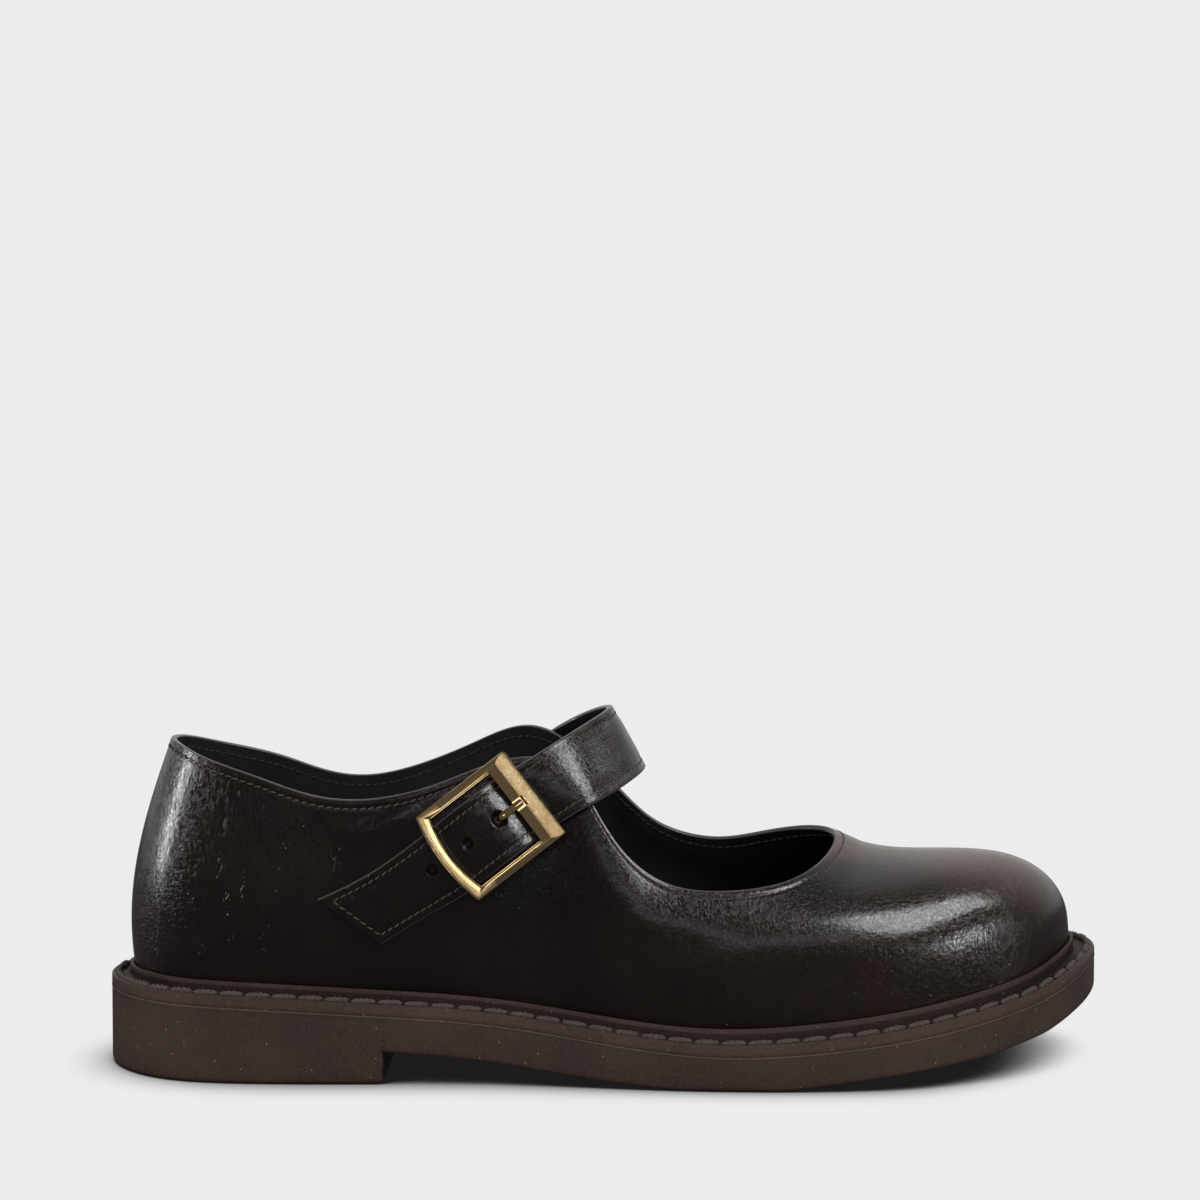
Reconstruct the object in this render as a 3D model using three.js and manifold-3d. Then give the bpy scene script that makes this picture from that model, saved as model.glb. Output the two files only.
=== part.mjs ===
import * as THREE from 'three';
import { mergeVertices } from 'three/addons/utils/BufferGeometryUtils.js';
import Module from 'manifold-3d';

// A right strap shoe: moulded sole with its heel, stitched welt, lasted leather upper,
// insole, instep strap and a sewn-on buckle. Millimetres: X to the toe, Y to the inner side, Z up.

// Driving sizes
const CLEARANCE = 0.3;
const LEATHER = 2.0;
const STRAP_THICK = 1.7;
const WELT_THICK = 3.2;
const WELT_WIDTH = 7.0;
const RAND_RISE = 2.6;
const RAND_THICK = 1.5;
const LASTING_MARGIN = 8;
const INSOLE_THICK = 3.0;
const HEEL_BREAST_X = -56;
const HEEL_RISE = 8.2;
const TREAD_EDGE = 1.6;

// Every loop round the shoe runs from 0 at the back of the heel, along the outer side,
// to 8 at the toe, and back along the inner side to 16.
const ROUND = 16;
const TOE = ROUND / 2;

// Edge of the sole and welt, seen from above
const OUTLINE = [
  { at: 0, x: -132.2, y: 0 },
  { at: 0.5, x: -128.7, y: -13.6 },
  { at: 1, x: -119, y: -24.8 },
  { at: 2, x: -93, y: -32.9 },
  { at: 3, x: -62, y: -33.6 },
  { at: 4, x: -30, y: -34.2 },
  { at: 5, x: 3, y: -38.2 },
  { at: 6, x: 36, y: -41.3 },
  { at: 6.6, x: 60, y: -41.2 },
  { at: 7.1, x: 84, y: -37.8 },
  { at: 7.45, x: 104, y: -29.8 },
  { at: 7.75, x: 122, y: -17 },
  { at: 8, x: 134.2, y: 1.5 },
  { at: 8.25, x: 136.8, y: 15.5 },
  { at: 8.55, x: 132.8, y: 29.5 },
  { at: 8.9, x: 119.5, y: 39.5 },
  { at: 9.4, x: 95, y: 46.5 },
  { at: 9.9, x: 69, y: 48.8 },
  { at: 10.5, x: 38, y: 46 },
  { at: 11.2, x: 3, y: 37 },
  { at: 12, x: -30, y: 29.5 },
  { at: 13, x: -62, y: 29.8 },
  { at: 14, x: -93, y: 32 },
  { at: 15, x: -119, y: 24.5 },
  { at: 15.5, x: -128.7, y: 13.2 },
];

// Outer edge of the collar and throat
const TOPLINE = [
  { at: 0, x: -116, y: 0, z: 86.6 },
  { at: 0.6, x: -113, y: -9, z: 85.6 },
  { at: 1.1, x: -106, y: -17, z: 83.2 },
  { at: 2, x: -88, y: -24.5, z: 77.8 },
  { at: 3, x: -64, y: -28, z: 72.7 },
  { at: 3.6, x: -44, y: -27.6, z: 76.2 },
  { at: 4.2, x: -23, y: -23, z: 83 },
  { at: 4.5, x: -13, y: -22, z: 82.6 },
  { at: 4.75, x: -6.5, y: -24, z: 78.5 },
  { at: 5, x: -1.5, y: -27, z: 71 },
  { at: 5.3, x: 5.5, y: -30, z: 60.5 },
  { at: 5.65, x: 16, y: -31.5, z: 52.2 },
  { at: 6.1, x: 31, y: -31.5, z: 49.6 },
  { at: 6.6, x: 46, y: -28, z: 50.9 },
  { at: 7.1, x: 55.5, y: -20.5, z: 53.7 },
  { at: 7.6, x: 62, y: -8, z: 57 },
  { at: 8, x: 64.6, y: 3, z: 59.6 },
  { at: 8.4, x: 62.8, y: 11.5, z: 60.4 },
  { at: 8.9, x: 56, y: 20.5, z: 59.4 },
  { at: 9.5, x: 44, y: 26.5, z: 56.6 },
  { at: 10.1, x: 29, y: 28.5, z: 55.4 },
  { at: 10.5, x: 16, y: 27, z: 60 },
  { at: 10.8, x: 8, y: 24.5, z: 67 },
  { at: 11.1, x: 1, y: 22.5, z: 74.5 },
  { at: 11.4, x: -7, y: 20.5, z: 82 },
  { at: 11.75, x: -18, y: 21.5, z: 87.3 },
  { at: 12.3, x: -36, y: 25.5, z: 82 },
  { at: 13, x: -62, y: 27, z: 73.2 },
  { at: 14, x: -88, y: 25, z: 78.1 },
  { at: 14.9, x: -106, y: 17, z: 83.5 },
  { at: 15.4, x: -113, y: 9, z: 85.9 },
];

// How the wall leaves the sole and reaches the topline: rise and drop are the lengths of
// its two handles, lean and tuck their angles in degrees, lift the turned-up edge of the throat
const FORM = [
  { at: 0, rise: 26, lean: 12, drop: 20, tuck: 19, lift: 0 },
  { at: 1, rise: 26, lean: 12, drop: 20, tuck: 17, lift: 0 },
  { at: 2, rise: 24, lean: 12, drop: 20, tuck: 12, lift: 0 },
  { at: 3, rise: 20, lean: 12, drop: 18, tuck: 6, lift: 0 },
  { at: 4, rise: 20, lean: 14, drop: 22, tuck: 16, lift: 0 },
  { at: 5, rise: 20, lean: 15, drop: 18, tuck: 26, lift: 0.6 },
  { at: 6, rise: 22, lean: 14, drop: 16, tuck: 45, lift: 1.6 },
  { at: 7, rise: 27, lean: 9, drop: 24, tuck: 78, lift: 2.6 },
  { at: 8, rise: 31.5, lean: 4, drop: 43, tuck: 90, lift: 3.8 },
  { at: 8.6, rise: 29, lean: 5, drop: 38, tuck: 80, lift: 4.2 },
  { at: 9.2, rise: 26, lean: 8, drop: 26, tuck: 66, lift: 2.6 },
  { at: 10, rise: 21, lean: 12, drop: 18, tuck: 44, lift: 1.4 },
  { at: 11, rise: 22, lean: 12, drop: 20, tuck: 24, lift: 0.5 },
  { at: 12, rise: 22, lean: 10, drop: 22, tuck: 10, lift: 0 },
  { at: 13, rise: 20, lean: 11, drop: 18, tuck: 4, lift: 0 },
  { at: 14, rise: 24, lean: 11, drop: 20, tuck: 12, lift: 0 },
  { at: 15, rise: 26, lean: 12, drop: 20, tuck: 17, lift: 0 },
];

// Heights along the shoe: top of the welt, and the tread in front of the heel
const WELT_TOP = [
  { at: -131, z: 23.7 },
  { at: -96, z: 22.9 },
  { at: -60, z: 21.1 },
  { at: -24, z: 18.4 },
  { at: 4, z: 14.5 },
  { at: 30, z: 12.1 },
  { at: 59, z: 13.5 },
  { at: 87, z: 17 },
  { at: 118, z: 23.2 },
  { at: 138, z: 29.6 },
];
const TREAD = [
  { at: -56, z: HEEL_RISE },
  { at: -38, z: 6.9 },
  { at: -24, z: 5.2 },
  { at: -10, z: 3.1 },
  { at: 4, z: 1.3 },
  { at: 18, z: 0 },
  { at: 48, z: 0 },
  { at: 60, z: 1.5 },
  { at: 73, z: 3.2 },
  { at: 87, z: 4.9 },
  { at: 102, z: 6.9 },
  { at: 118, z: 10 },
  { at: 137, z: 15.5 },
];

// The two edges of the strap's underside: its free end on the outer side, and its way from
// the buckle over the instep to the end sewn on the inner side
const STRAP_TAIL = [
  { rear: [-72.2, -29.6, 47.6], front: [-56.7, -29.6, 36.4] },
  { rear: [-57.8, -29.6, 55], front: [-43.8, -30.6, 44.3] },
];
const STRAP_INSTEP = [
  { rear: [-20, -26.8, 82], front: [-9, -28.8, 68.5] },
  { rear: [-11, -22.4, 87.2], front: [-2.3, -27.6, 72] },
  { rear: [-4.6, -14, 90.6], front: [5.2, -16, 75] },
  { rear: [0.8, -5, 93.4], front: [10.2, -4.5, 77.5] },
  { rear: [1.6, 3.4, 94], front: [10.6, 5, 77.8] },
  { rear: [-1.6, 10.4, 92.6], front: [8.4, 14, 77] },
  { rear: [-7, 17.5, 89.6], front: [3, 22.8, 74.6] },
  { rear: [-14, 22.2, 85.2], front: [-4.4, 26.6, 69.8] },
  { rear: [-22, 25.6, 78.8], front: [-12.4, 28.6, 63.4] },
  { rear: [-30, 27, 72.2], front: [-20.4, 29.4, 57] },
  { rear: [-37.6, 27.6, 65.8], front: [-28, 29.6, 50.8] },
];

// The buckle lies on the outer side with its long sides along the strap. Its places are
// measured along the strap to the toe, and outward from the top face of the frame.
const BUCKLE = { x: -28, y: -33.6, z: 67.2, length: 28.5, width: 26.6, thick: 1.9 };
const BUCKLE_ALONG = [0.789, 0.14, 0.598];
const BUCKLE_ACROSS = [0.612, -0.121, -0.781];
const CATCH_BAR = { flat: 4.2, slope: 2.2, fall: 0.9 };
const REAR_BAR = { flat: 0.7, slope: 2.2, fall: 0.8, bow: 1.7 };
const SIDE_RAIL = { flat: 0.5, slope: 2.1, fall: 0.8 };
const NOTCH = { width: 2.8, from: 7.4, to: 10.6, floor: -1.3 };
const PIN_BAR = { along: -1, thick: 1, top: -3.6 };
const PRONG_WIDTH = 2;
const LOOP = { width: 7, reach: 4.2, thick: 0.45 };
const STRAP_WIDTH = 17.6;
const STRAP_SHIFT = 0.8;
const UNDER_BUCKLE = [
  { along: -13.6, underside: -4.5 },
  { along: -8.5, underside: -3.2 },
  { along: -3, underside: -2.1 },
  { along: 2.8, underside: -2.2 },
  { along: 7.2, underside: -4.3 },
];
const STRAP_HOLES = [
  { along: 2.65, width: 3.6 },
  { along: -7.7, width: 2.6 },
];
const TAIL_HOLE = { x: -43.1, y: -32, z: 55.6, width: 2.6 };

// How finely the pieces are faceted
const HEEL_STEPS = 13;
const FRONT_STEPS = 27;
const WALL_STEPS = 12;
const LINING_STEPS = 10;
const ACROSS_STEPS = 6;
const STRAP_STEPS = 3;
const STRAP_ACROSS = 4;

const radians = THREE.MathUtils.degToRad;
const vector = (list) => new THREE.Vector3(...list);

// A curve through the rows with an even bend; with a length it closes into a loop
function spline(rows, keys, loopLength = 0) {
  const last = rows.length - 1;
  const closed = loopLength > 0;
  const at = rows.map((row) => row.at);
  const step = at.map((value, i) => (i < last ? at[i + 1] : at[0] + loopLength) - value);
  const after = (i) => (i === last ? 0 : i + 1);
  const before = (i) => (i === 0 ? last : i - 1);
  const slopes = {};
  const SWEEPS = 50;
  for (const key of keys) {
    const value = (i) => rows[i][key];
    const chord = (i) => (value(after(i)) - value(i)) / step[i];
    const slope = rows.map(() => 0);
    for (let sweep = 0; sweep < SWEEPS; sweep += 1) {
      for (let i = 0; i <= last; i += 1) {
        if (!closed && i === 0) {
          slope[i] = (3 * chord(0) - slope[1]) / 2;
        } else if (!closed && i === last) {
          slope[i] = (3 * chord(last - 1) - slope[last - 1]) / 2;
        } else {
          const share = step[i] / (step[i] + step[before(i)]);
          const pull = 3 * (share * chord(before(i)) + (1 - share) * chord(i));
          slope[i] = (pull - share * slope[before(i)] - (1 - share) * slope[after(i)]) / 2;
        }
      }
    }
    slopes[key] = slope;
  }
  return (place) => {
    let t = place;
    if (closed) t = ((place - at[0]) % loopLength + loopLength) % loopLength + at[0];
    else t = THREE.MathUtils.clamp(place, at[0], at[last]);
    let i = closed ? last : last - 1;
    while (i > 0 && at[i] > t) i -= 1;
    const j = after(i);
    const s = (t - at[i]) / step[i];
    const result = {};
    for (const key of keys) {
      const rise = rows[j][key] - rows[i][key];
      const start = slopes[key][i] * step[i];
      const end = slopes[key][j] * step[i];
      const bend = s * s * (3 - 2 * s);
      result[key] = rows[i][key] + rise * bend + start * s * (1 - s) ** 2 - end * s * s * (1 - s);
    }
    return result;
  };
}

// Straight lines between the rows
function polyline(rows) {
  return (place) => {
    const last = rows.length - 1;
    if (place <= rows[0].at) return rows[0].z;
    if (place >= rows[last].at) return rows[last].z;
    const i = rows.findIndex((row) => row.at > place) - 1;
    const s = (place - rows[i].at) / (rows[i + 1].at - rows[i].at);
    return rows[i].z + s * (rows[i + 1].z - rows[i].z);
  };
}

const outline = spline(OUTLINE, ['x', 'y'], ROUND);
const topline = spline(TOPLINE, ['x', 'y', 'z'], ROUND);
const form = spline(FORM, ['rise', 'lean', 'drop', 'tuck', 'lift'], ROUND);
const weltCurve = spline(WELT_TOP, ['z']);
const weltTop = (x) => weltCurve(x).z;
const seat = (x) => weltTop(x) - WELT_THICK;
const tread = polyline(TREAD);

// Level direction that points out of the shoe
function outward(at) {
  const NEAR = 0.001;
  const a = outline(at - NEAR);
  const b = outline(at + NEAR);
  return new THREE.Vector3(b.y - a.y, a.x - b.x, 0).normalize();
}

// Point of the outline moved in by a distance, at a height taken from its own x
function inFrom(at, distance, height) {
  const edge = outline(at);
  const out = outward(at);
  const x = edge.x - out.x * distance;
  const y = edge.y - out.y * distance;
  return new THREE.Vector3(x, y, height(x));
}

// Outer face of the upper: up is 0 at the sole and 1 at the topline
const FAN = 12;
const EDGE_POWER = 12;
function upperFace(at, up) {
  const shape = form(at);
  const out = outward(at);
  const foot = inFrom(at, WELT_WIDTH, (x) => seat(x) + CLEARANCE);
  const top = topline(at);
  const head = new THREE.Vector3(top.x, top.y, top.z - shape.lift);
  const spread = new THREE.Vector3(foot.x - head.x, foot.y - head.y, 0);
  spread.addScaledVector(out, FAN).normalize();
  const lean = radians(shape.lean);
  const tuck = radians(shape.tuck);
  const low = foot.clone().addScaledVector(out, shape.rise * Math.sin(lean));
  low.z += shape.rise * Math.cos(lean);
  const high = head.clone().addScaledVector(spread, shape.drop * Math.sin(tuck));
  high.z -= shape.drop * Math.cos(tuck);
  const point = new THREE.CubicBezierCurve3(foot, low, high, head).getPoint(up);
  point.z += shape.lift * up ** EDGE_POWER;
  return point;
}

function upperNormal(at, up) {
  const NEAR = 0.002;
  const along = upperFace(at + NEAR, up).sub(upperFace(at - NEAR, up));
  const rising = upperFace(at, Math.min(up + NEAR, 1)).sub(upperFace(at, Math.max(up - NEAR, 0)));
  return along.cross(rising).normalize();
}

// How far up the wall a height lies
function upAtHeight(at, z) {
  let low = 0;
  let high = 0.5;
  const HALVINGS = 24;
  for (let i = 0; i < HALVINGS; i += 1) {
    const middle = (low + high) / 2;
    if (upperFace(at, middle).z < z) low = middle;
    else high = middle;
  }
  return low;
}

// Distance in from the outline to the upper's outer face at a height
function wallInset(at, z) {
  const edge = outline(at);
  const face = upperFace(at, upAtHeight(at, z));
  return outward(at).dot(new THREE.Vector3(edge.x - face.x, edge.y - face.y, 0));
}

// Where a side of the outline crosses a given x
function stationAtX(x, from, to) {
  let a = from;
  let b = to;
  const HALVINGS = 40;
  for (let i = 0; i < HALVINGS; i += 1) {
    const middle = (a + b) / 2;
    if (outline(middle).x < x) a = middle;
    else b = middle;
  }
  return a;
}

// Stations with even steps along the sole's edge and the topline together
function evenStations(from, to, count) {
  const SAMPLES = 400;
  const places = [from];
  const lengths = [0];
  let edge = outline(from);
  let top = topline(from);
  for (let i = 1; i <= SAMPLES; i += 1) {
    const place = from + ((to - from) * i) / SAMPLES;
    const nextEdge = outline(place);
    const nextTop = topline(place);
    const moved = Math.hypot(nextEdge.x - edge.x, nextEdge.y - edge.y,
      nextTop.x - top.x, nextTop.y - top.y, nextTop.z - top.z);
    places.push(place);
    lengths.push(lengths[i - 1] + moved);
    edge = nextEdge;
    top = nextTop;
  }
  const stations = [];
  for (let k = 0; k <= count; k += 1) {
    const wanted = (lengths[SAMPLES] * k) / count;
    let i = 1;
    while (i < SAMPLES && lengths[i] < wanted) i += 1;
    const s = (wanted - lengths[i - 1]) / (lengths[i] - lengths[i - 1]);
    stations.push(places[i - 1] + s * (places[i] - places[i - 1]));
  }
  return stations;
}

// Matching stations of the outer and inner side, from the heel to the toe, with the heel's
// front face at the end of the first run
const outerBreast = stationAtX(HEEL_BREAST_X, 0, TOE);
const innerBreast = stationAtX(HEEL_BREAST_X, ROUND, TOE);
const OUTER = [
  ...evenStations(0, outerBreast, HEEL_STEPS),
  ...evenStations(outerBreast, TOE, FRONT_STEPS).slice(1),
];
const INNER = [
  ...evenStations(ROUND, innerBreast, HEEL_STEPS),
  ...evenStations(innerBreast, TOE, FRONT_STEPS).slice(1),
];
const STATIONS = [...OUTER, ...INNER.slice(1, -1).reverse()];

function solidFrom(points, faces) {
  const geometry = new THREE.BufferGeometry();
  const flat = points.flatMap((point) => [point.x, point.y, point.z]);
  geometry.setAttribute('position', new THREE.Float32BufferAttribute(flat, 3));
  geometry.setIndex(faces.flat());
  return geometry;
}

// Two triangles, split along the shorter diagonal
function quad(points, a, b, c, d) {
  const across = points[a].distanceToSquared(points[c]);
  const other = points[b].distanceToSquared(points[d]);
  return across <= other ? [[a, b, c], [a, c, d]] : [[b, c, d], [b, d, a]];
}

// A closed ring: every station has the same closed section
function ringSolid(sections) {
  const size = sections[0].length;
  const points = sections.flat();
  const faces = [];
  sections.forEach((section, i) => {
    const next = (i + 1) % sections.length;
    for (let k = 0; k < size; k += 1) {
      const above = (k + 1) % size;
      faces.push(...quad(points, i * size + k, next * size + k, next * size + above, i * size + above));
    }
  });
  return solidFrom(points, faces);
}

// A closed bar: a section at each place along it and a flat cap on each end
function barSolid(sections, caps) {
  const size = sections[0].length;
  const points = sections.flat();
  const faces = [];
  for (let i = 0; i < sections.length - 1; i += 1) {
    for (let k = 0; k < size; k += 1) {
      const above = (k + 1) % size;
      const here = i * size;
      const there = here + size;
      faces.push(...quad(points, here + k, there + k, there + above, here + above));
    }
  }
  const end = (sections.length - 1) * size;
  for (const [a, b, c, d] of caps) {
    faces.push([a, b, c], [a, c, d]);
    faces.push([end + a, end + c, end + b], [end + a, end + d, end + c]);
  }
  return solidFrom(points, faces);
}

// A slab inside the outline: rungs join the outer and inner side, and each edge has a profile
// of insets and heights from the top down
function slabSolid(outer, inner, profile, topHeight, bottomHeight, pointed) {
  const points = [];
  const faces = [];
  const rows = [];
  const last = outer.length - 1;
  outer.forEach((at, i) => {
    const single = i === 0 || (pointed && i === last);
    const near = profile.map((row) => inFrom(at, row.inset, row.height));
    const far = profile.map((row) => inFrom(inner[i], row.inset, row.height));
    const row = { near: near.map((point) => points.push(point) - 1) };
    row.far = single ? row.near : far.map((point) => points.push(point) - 1);
    const rung = (k, height) => {
      const line = [row.near[k]];
      for (let j = 1; j < ACROSS_STEPS && !single; j += 1) {
        const point = near[k].clone().lerp(far[k], j / ACROSS_STEPS);
        point.z = height(point.x);
        line.push(points.push(point) - 1);
      }
      if (!single) line.push(row.far[k]);
      return line;
    };
    row.top = rung(0, topHeight);
    row.bottom = rung(profile.length - 1, bottomHeight);
    row.single = single;
    rows.push(row);
  });
  const strip = (a, b, flip) => {
    const add = (...face) => faces.push(flip ? face.reverse() : face);
    if (a.length === 1 || b.length === 1) {
      const tip = a.length === 1 ? a[0] : b[0];
      const line = a.length === 1 ? b : a;
      for (let j = 0; j < line.length - 1; j += 1) {
        if (a.length === 1) add(tip, line[j], line[j + 1]);
        else add(tip, line[j + 1], line[j]);
      }
      return;
    }
    for (let j = 0; j < a.length - 1; j += 1) {
      for (const face of quad(points, a[j], b[j], b[j + 1], a[j + 1])) add(...face);
    }
  };
  for (let i = 0; i < last; i += 1) {
    const a = rows[i];
    const b = rows[i + 1];
    strip(a.top, b.top, false);
    strip(a.bottom, b.bottom, true);
    for (let k = 0; k < profile.length - 1; k += 1) {
      faces.push(...quad(points, a.near[k], a.near[k + 1], b.near[k + 1], b.near[k]));
      faces.push(...quad(points, b.far[k], b.far[k + 1], a.far[k + 1], a.far[k]));
    }
  }
  if (!pointed) {
    const face = rows[last];
    const rim = [...face.near, ...face.bottom.slice(1, -1), ...[...face.far].reverse(),
      ...[...face.top.slice(1, -1)].reverse()];
    const flat = rim.map((index) => new THREE.Vector2(points[index].y, points[index].z));
    for (const [a, b, c] of THREE.ShapeUtils.triangulateShape(flat, [])) {
      faces.push([rim[a], rim[b], rim[c]]);
    }
  }
  return solidFrom(points, faces);
}

const wasm = await Module();
wasm.setup();

function toSolid(geometry) {
  const bare = geometry.clone();
  bare.deleteAttribute('normal');
  bare.deleteAttribute('uv');
  const merged = mergeVertices(bare, 0.0001);
  return new wasm.Manifold(new wasm.Mesh({
    numProp: 3,
    vertProperties: new Float32Array(merged.attributes.position.array),
    triVerts: new Uint32Array(merged.index.array),
  }));
}

function toGeometry(solid) {
  const mesh = solid.getMesh();
  const geometry = new THREE.BufferGeometry();
  geometry.setAttribute('position', new THREE.BufferAttribute(mesh.vertProperties, 3));
  geometry.setIndex(new THREE.BufferAttribute(mesh.triVerts, 1));
  return geometry;
}

// Sole: a slab with arch and toe spring, and the heel block under its rear
function outsoleGeometry() {
  const EDGE = 0.4;
  const CORNER = 0.45;
  const heelTop = HEEL_RISE + 2 * TREAD_EDGE;
  const profileFor = (under) => [
    { inset: EDGE, height: seat },
    { inset: 0, height: (x) => seat(x) - EDGE },
    { inset: 0, height: (x) => under(x) + TREAD_EDGE },
    { inset: CORNER, height: (x) => under(x) + CORNER },
    { inset: TREAD_EDGE, height: under },
  ];
  const slab = slabSolid(OUTER, INNER, profileFor(tread), seat, tread, true);
  const ground = () => 0;
  const heelProfile = profileFor(ground).slice(2);
  heelProfile.unshift({ inset: 0, height: () => heelTop });
  const heelOuter = OUTER.slice(0, HEEL_STEPS + 1);
  const heelInner = INNER.slice(0, HEEL_STEPS + 1);
  const heel = slabSolid(heelOuter, heelInner, heelProfile, () => heelTop, ground, false);
  return toGeometry(toSolid(slab).add(toSolid(heel)));
}

// Welt: a flat rim with a groove for its stitches and a rand that rises round the upper
function weltGeometry() {
  const EDGE = 0.4;
  const GROOVE = { from: 1.3, to: 3.3, depth: 0.5, slope: 0.3 };
  const TOE_RISE = { height: 0.6, power: 8 };
  const sections = STATIONS.map((at) => {
    const toeShare = Math.sin((Math.PI * at) / ROUND) ** TOE_RISE.power;
    const rise = RAND_RISE + TOE_RISE.height * toeShare;
    const footHeight = inFrom(at, WELT_WIDTH, seat).z + CLEARANCE;
    const foot = wallInset(at, footHeight) - CLEARANCE;
    const headHeight = inFrom(at, WELT_WIDTH, weltTop).z + rise;
    const head = wallInset(at, headHeight) - CLEARANCE;
    const above = (offset) => (x) => weltTop(x) + offset;
    const under = (x) => seat(x) + CLEARANCE;
    return [
      inFrom(at, 0, under),
      inFrom(at, foot, under),
      inFrom(at, head, above(rise - EDGE)),
      inFrom(at, head - EDGE, above(rise)),
      inFrom(at, head - RAND_THICK + EDGE, above(rise)),
      inFrom(at, head - RAND_THICK, above(rise - EDGE)),
      inFrom(at, head - RAND_THICK, above(0)),
      inFrom(at, GROOVE.to, above(0)),
      inFrom(at, GROOVE.to - GROOVE.slope, above(-GROOVE.depth)),
      inFrom(at, GROOVE.from + GROOVE.slope, above(-GROOVE.depth)),
      inFrom(at, GROOVE.from, above(0)),
      inFrom(at, EDGE, above(0)),
      inFrom(at, 0, above(-EDGE)),
    ].reverse();
  });
  return ringSolid(sections);
}

// Insole: lies on the turned-in margin of the upper
function insoleGeometry() {
  const EDGE = 0.5;
  const FLOAT = 1.05;
  const inset = WELT_WIDTH + LEATHER + 2 * CLEARANCE;
  const bottom = (x) => seat(x) + LEATHER + FLOAT;
  const top = (x) => bottom(x) + INSOLE_THICK;
  const profile = [
    { inset: inset + EDGE, height: top },
    { inset, height: (x) => top(x) - EDGE },
    { inset, height: bottom },
  ];
  return slabSolid(OUTER, INNER, profile, top, bottom, true);
}

// Upper: one hollow wall, open at the collar and throat, its lower margin turned in
function upperGeometry() {
  const ROLL = 0.35;
  const sections = STATIONS.map((at) => {
    const section = [];
    for (let k = 0; k <= WALL_STEPS; k += 1) {
      section.push(upperFace(at, k / WALL_STEPS));
    }
    const rim = upperFace(at, 1).addScaledVector(upperNormal(at, 1), -LEATHER / 2);
    rim.z += ROLL;
    section.push(rim);
    const marginTop = inFrom(at, WELT_WIDTH, seat).z + CLEARANCE + LEATHER;
    const lowest = upAtHeight(at, marginTop - LEATHER * Math.sin(radians(form(at).lean)));
    for (let k = 0; k <= LINING_STEPS; k += 1) {
      const up = 1 - ((1 - lowest) * k) / LINING_STEPS;
      section.push(upperFace(at, up).addScaledVector(upperNormal(at, up), -LEATHER));
    }
    section.push(inFrom(at, WELT_WIDTH + LASTING_MARGIN, (x) => seat(x) + CLEARANCE + LEATHER));
    section.push(inFrom(at, WELT_WIDTH + LASTING_MARGIN, (x) => seat(x) + CLEARANCE));
    return section;
  });
  return ringSolid(sections);
}

// Level distance from the middle plane to the upper's outer face at a given x and height
function sideFace(x, z, innerSide) {
  const NEAR = 0.001;
  const ROUNDS = 12;
  const MAX_STEP = { at: 0.5, up: 0.2 };
  const LOWEST = 0.05;
  const RIM = 0.999;
  const MISS = 0.5;
  let at = stationAtX(x, innerSide ? ROUND : 0, TOE);
  let up = 0.6;
  for (let i = 0; i < ROUNDS; i += 1) {
    const face = upperFace(at, up);
    const acrossStep = upperFace(at + NEAR, up);
    const upStep = upperFace(at, up + NEAR);
    const a = (acrossStep.x - face.x) / NEAR;
    const b = (upStep.x - face.x) / NEAR;
    const c = (acrossStep.z - face.z) / NEAR;
    const d = (upStep.z - face.z) / NEAR;
    const size = a * d - b * c;
    const dx = x - face.x;
    const dz = z - face.z;
    at += THREE.MathUtils.clamp((dx * d - dz * b) / size, -MAX_STEP.at, MAX_STEP.at);
    up += THREE.MathUtils.clamp((dz * a - dx * c) / size, -MAX_STEP.up, MAX_STEP.up);
    up = THREE.MathUtils.clamp(up, LOWEST, 1);
  }
  const face = upperFace(at, up);
  return { y: face.y, onWall: up < RIM && Math.hypot(face.x - x, face.z - z) < MISS };
}

// The strap never comes nearer to the upper than the clearance
function restOnUpper(point) {
  const innerSide = point.y > 0;
  const FREE = 15;
  if (Math.abs(point.y) < FREE) return point;
  const face = sideFace(point.x, point.z, innerSide);
  if (!face.onWall) return point;
  const NEAREST = 0.4;
  if (innerSide) point.y = Math.max(point.y, face.y + NEAREST);
  else point.y = Math.min(point.y, face.y - NEAREST);
  return point;
}

// Buckle space: first number along the strap to the toe, second across it, third outward
const along = vector(BUCKLE_ALONG).normalize();
const across = vector(BUCKLE_ACROSS).projectOnPlane(along).normalize();
const proud = along.clone().cross(across).negate();
const buckleFrame = new THREE.Matrix4().makeBasis(along, across.clone().negate(), proud);
buckleFrame.setPosition(BUCKLE.x, BUCKLE.y, BUCKLE.z);

// Edges of the strap where it passes under the buckle's bars and over its pin bar
function strapRows() {
  const half = STRAP_WIDTH / 2;
  const place = (row, side) => new THREE.Vector3(row.along, side * half - STRAP_SHIFT, row.underside)
    .applyMatrix4(buckleFrame);
  const free = (row) => ({ rear: vector(row.rear), front: vector(row.front) });
  return [
    ...STRAP_TAIL.map(free),
    ...UNDER_BUCKLE.map((row) => ({ rear: place(row, 1), front: place(row, -1) })),
    ...STRAP_INSTEP.map(free),
  ];
}

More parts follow.
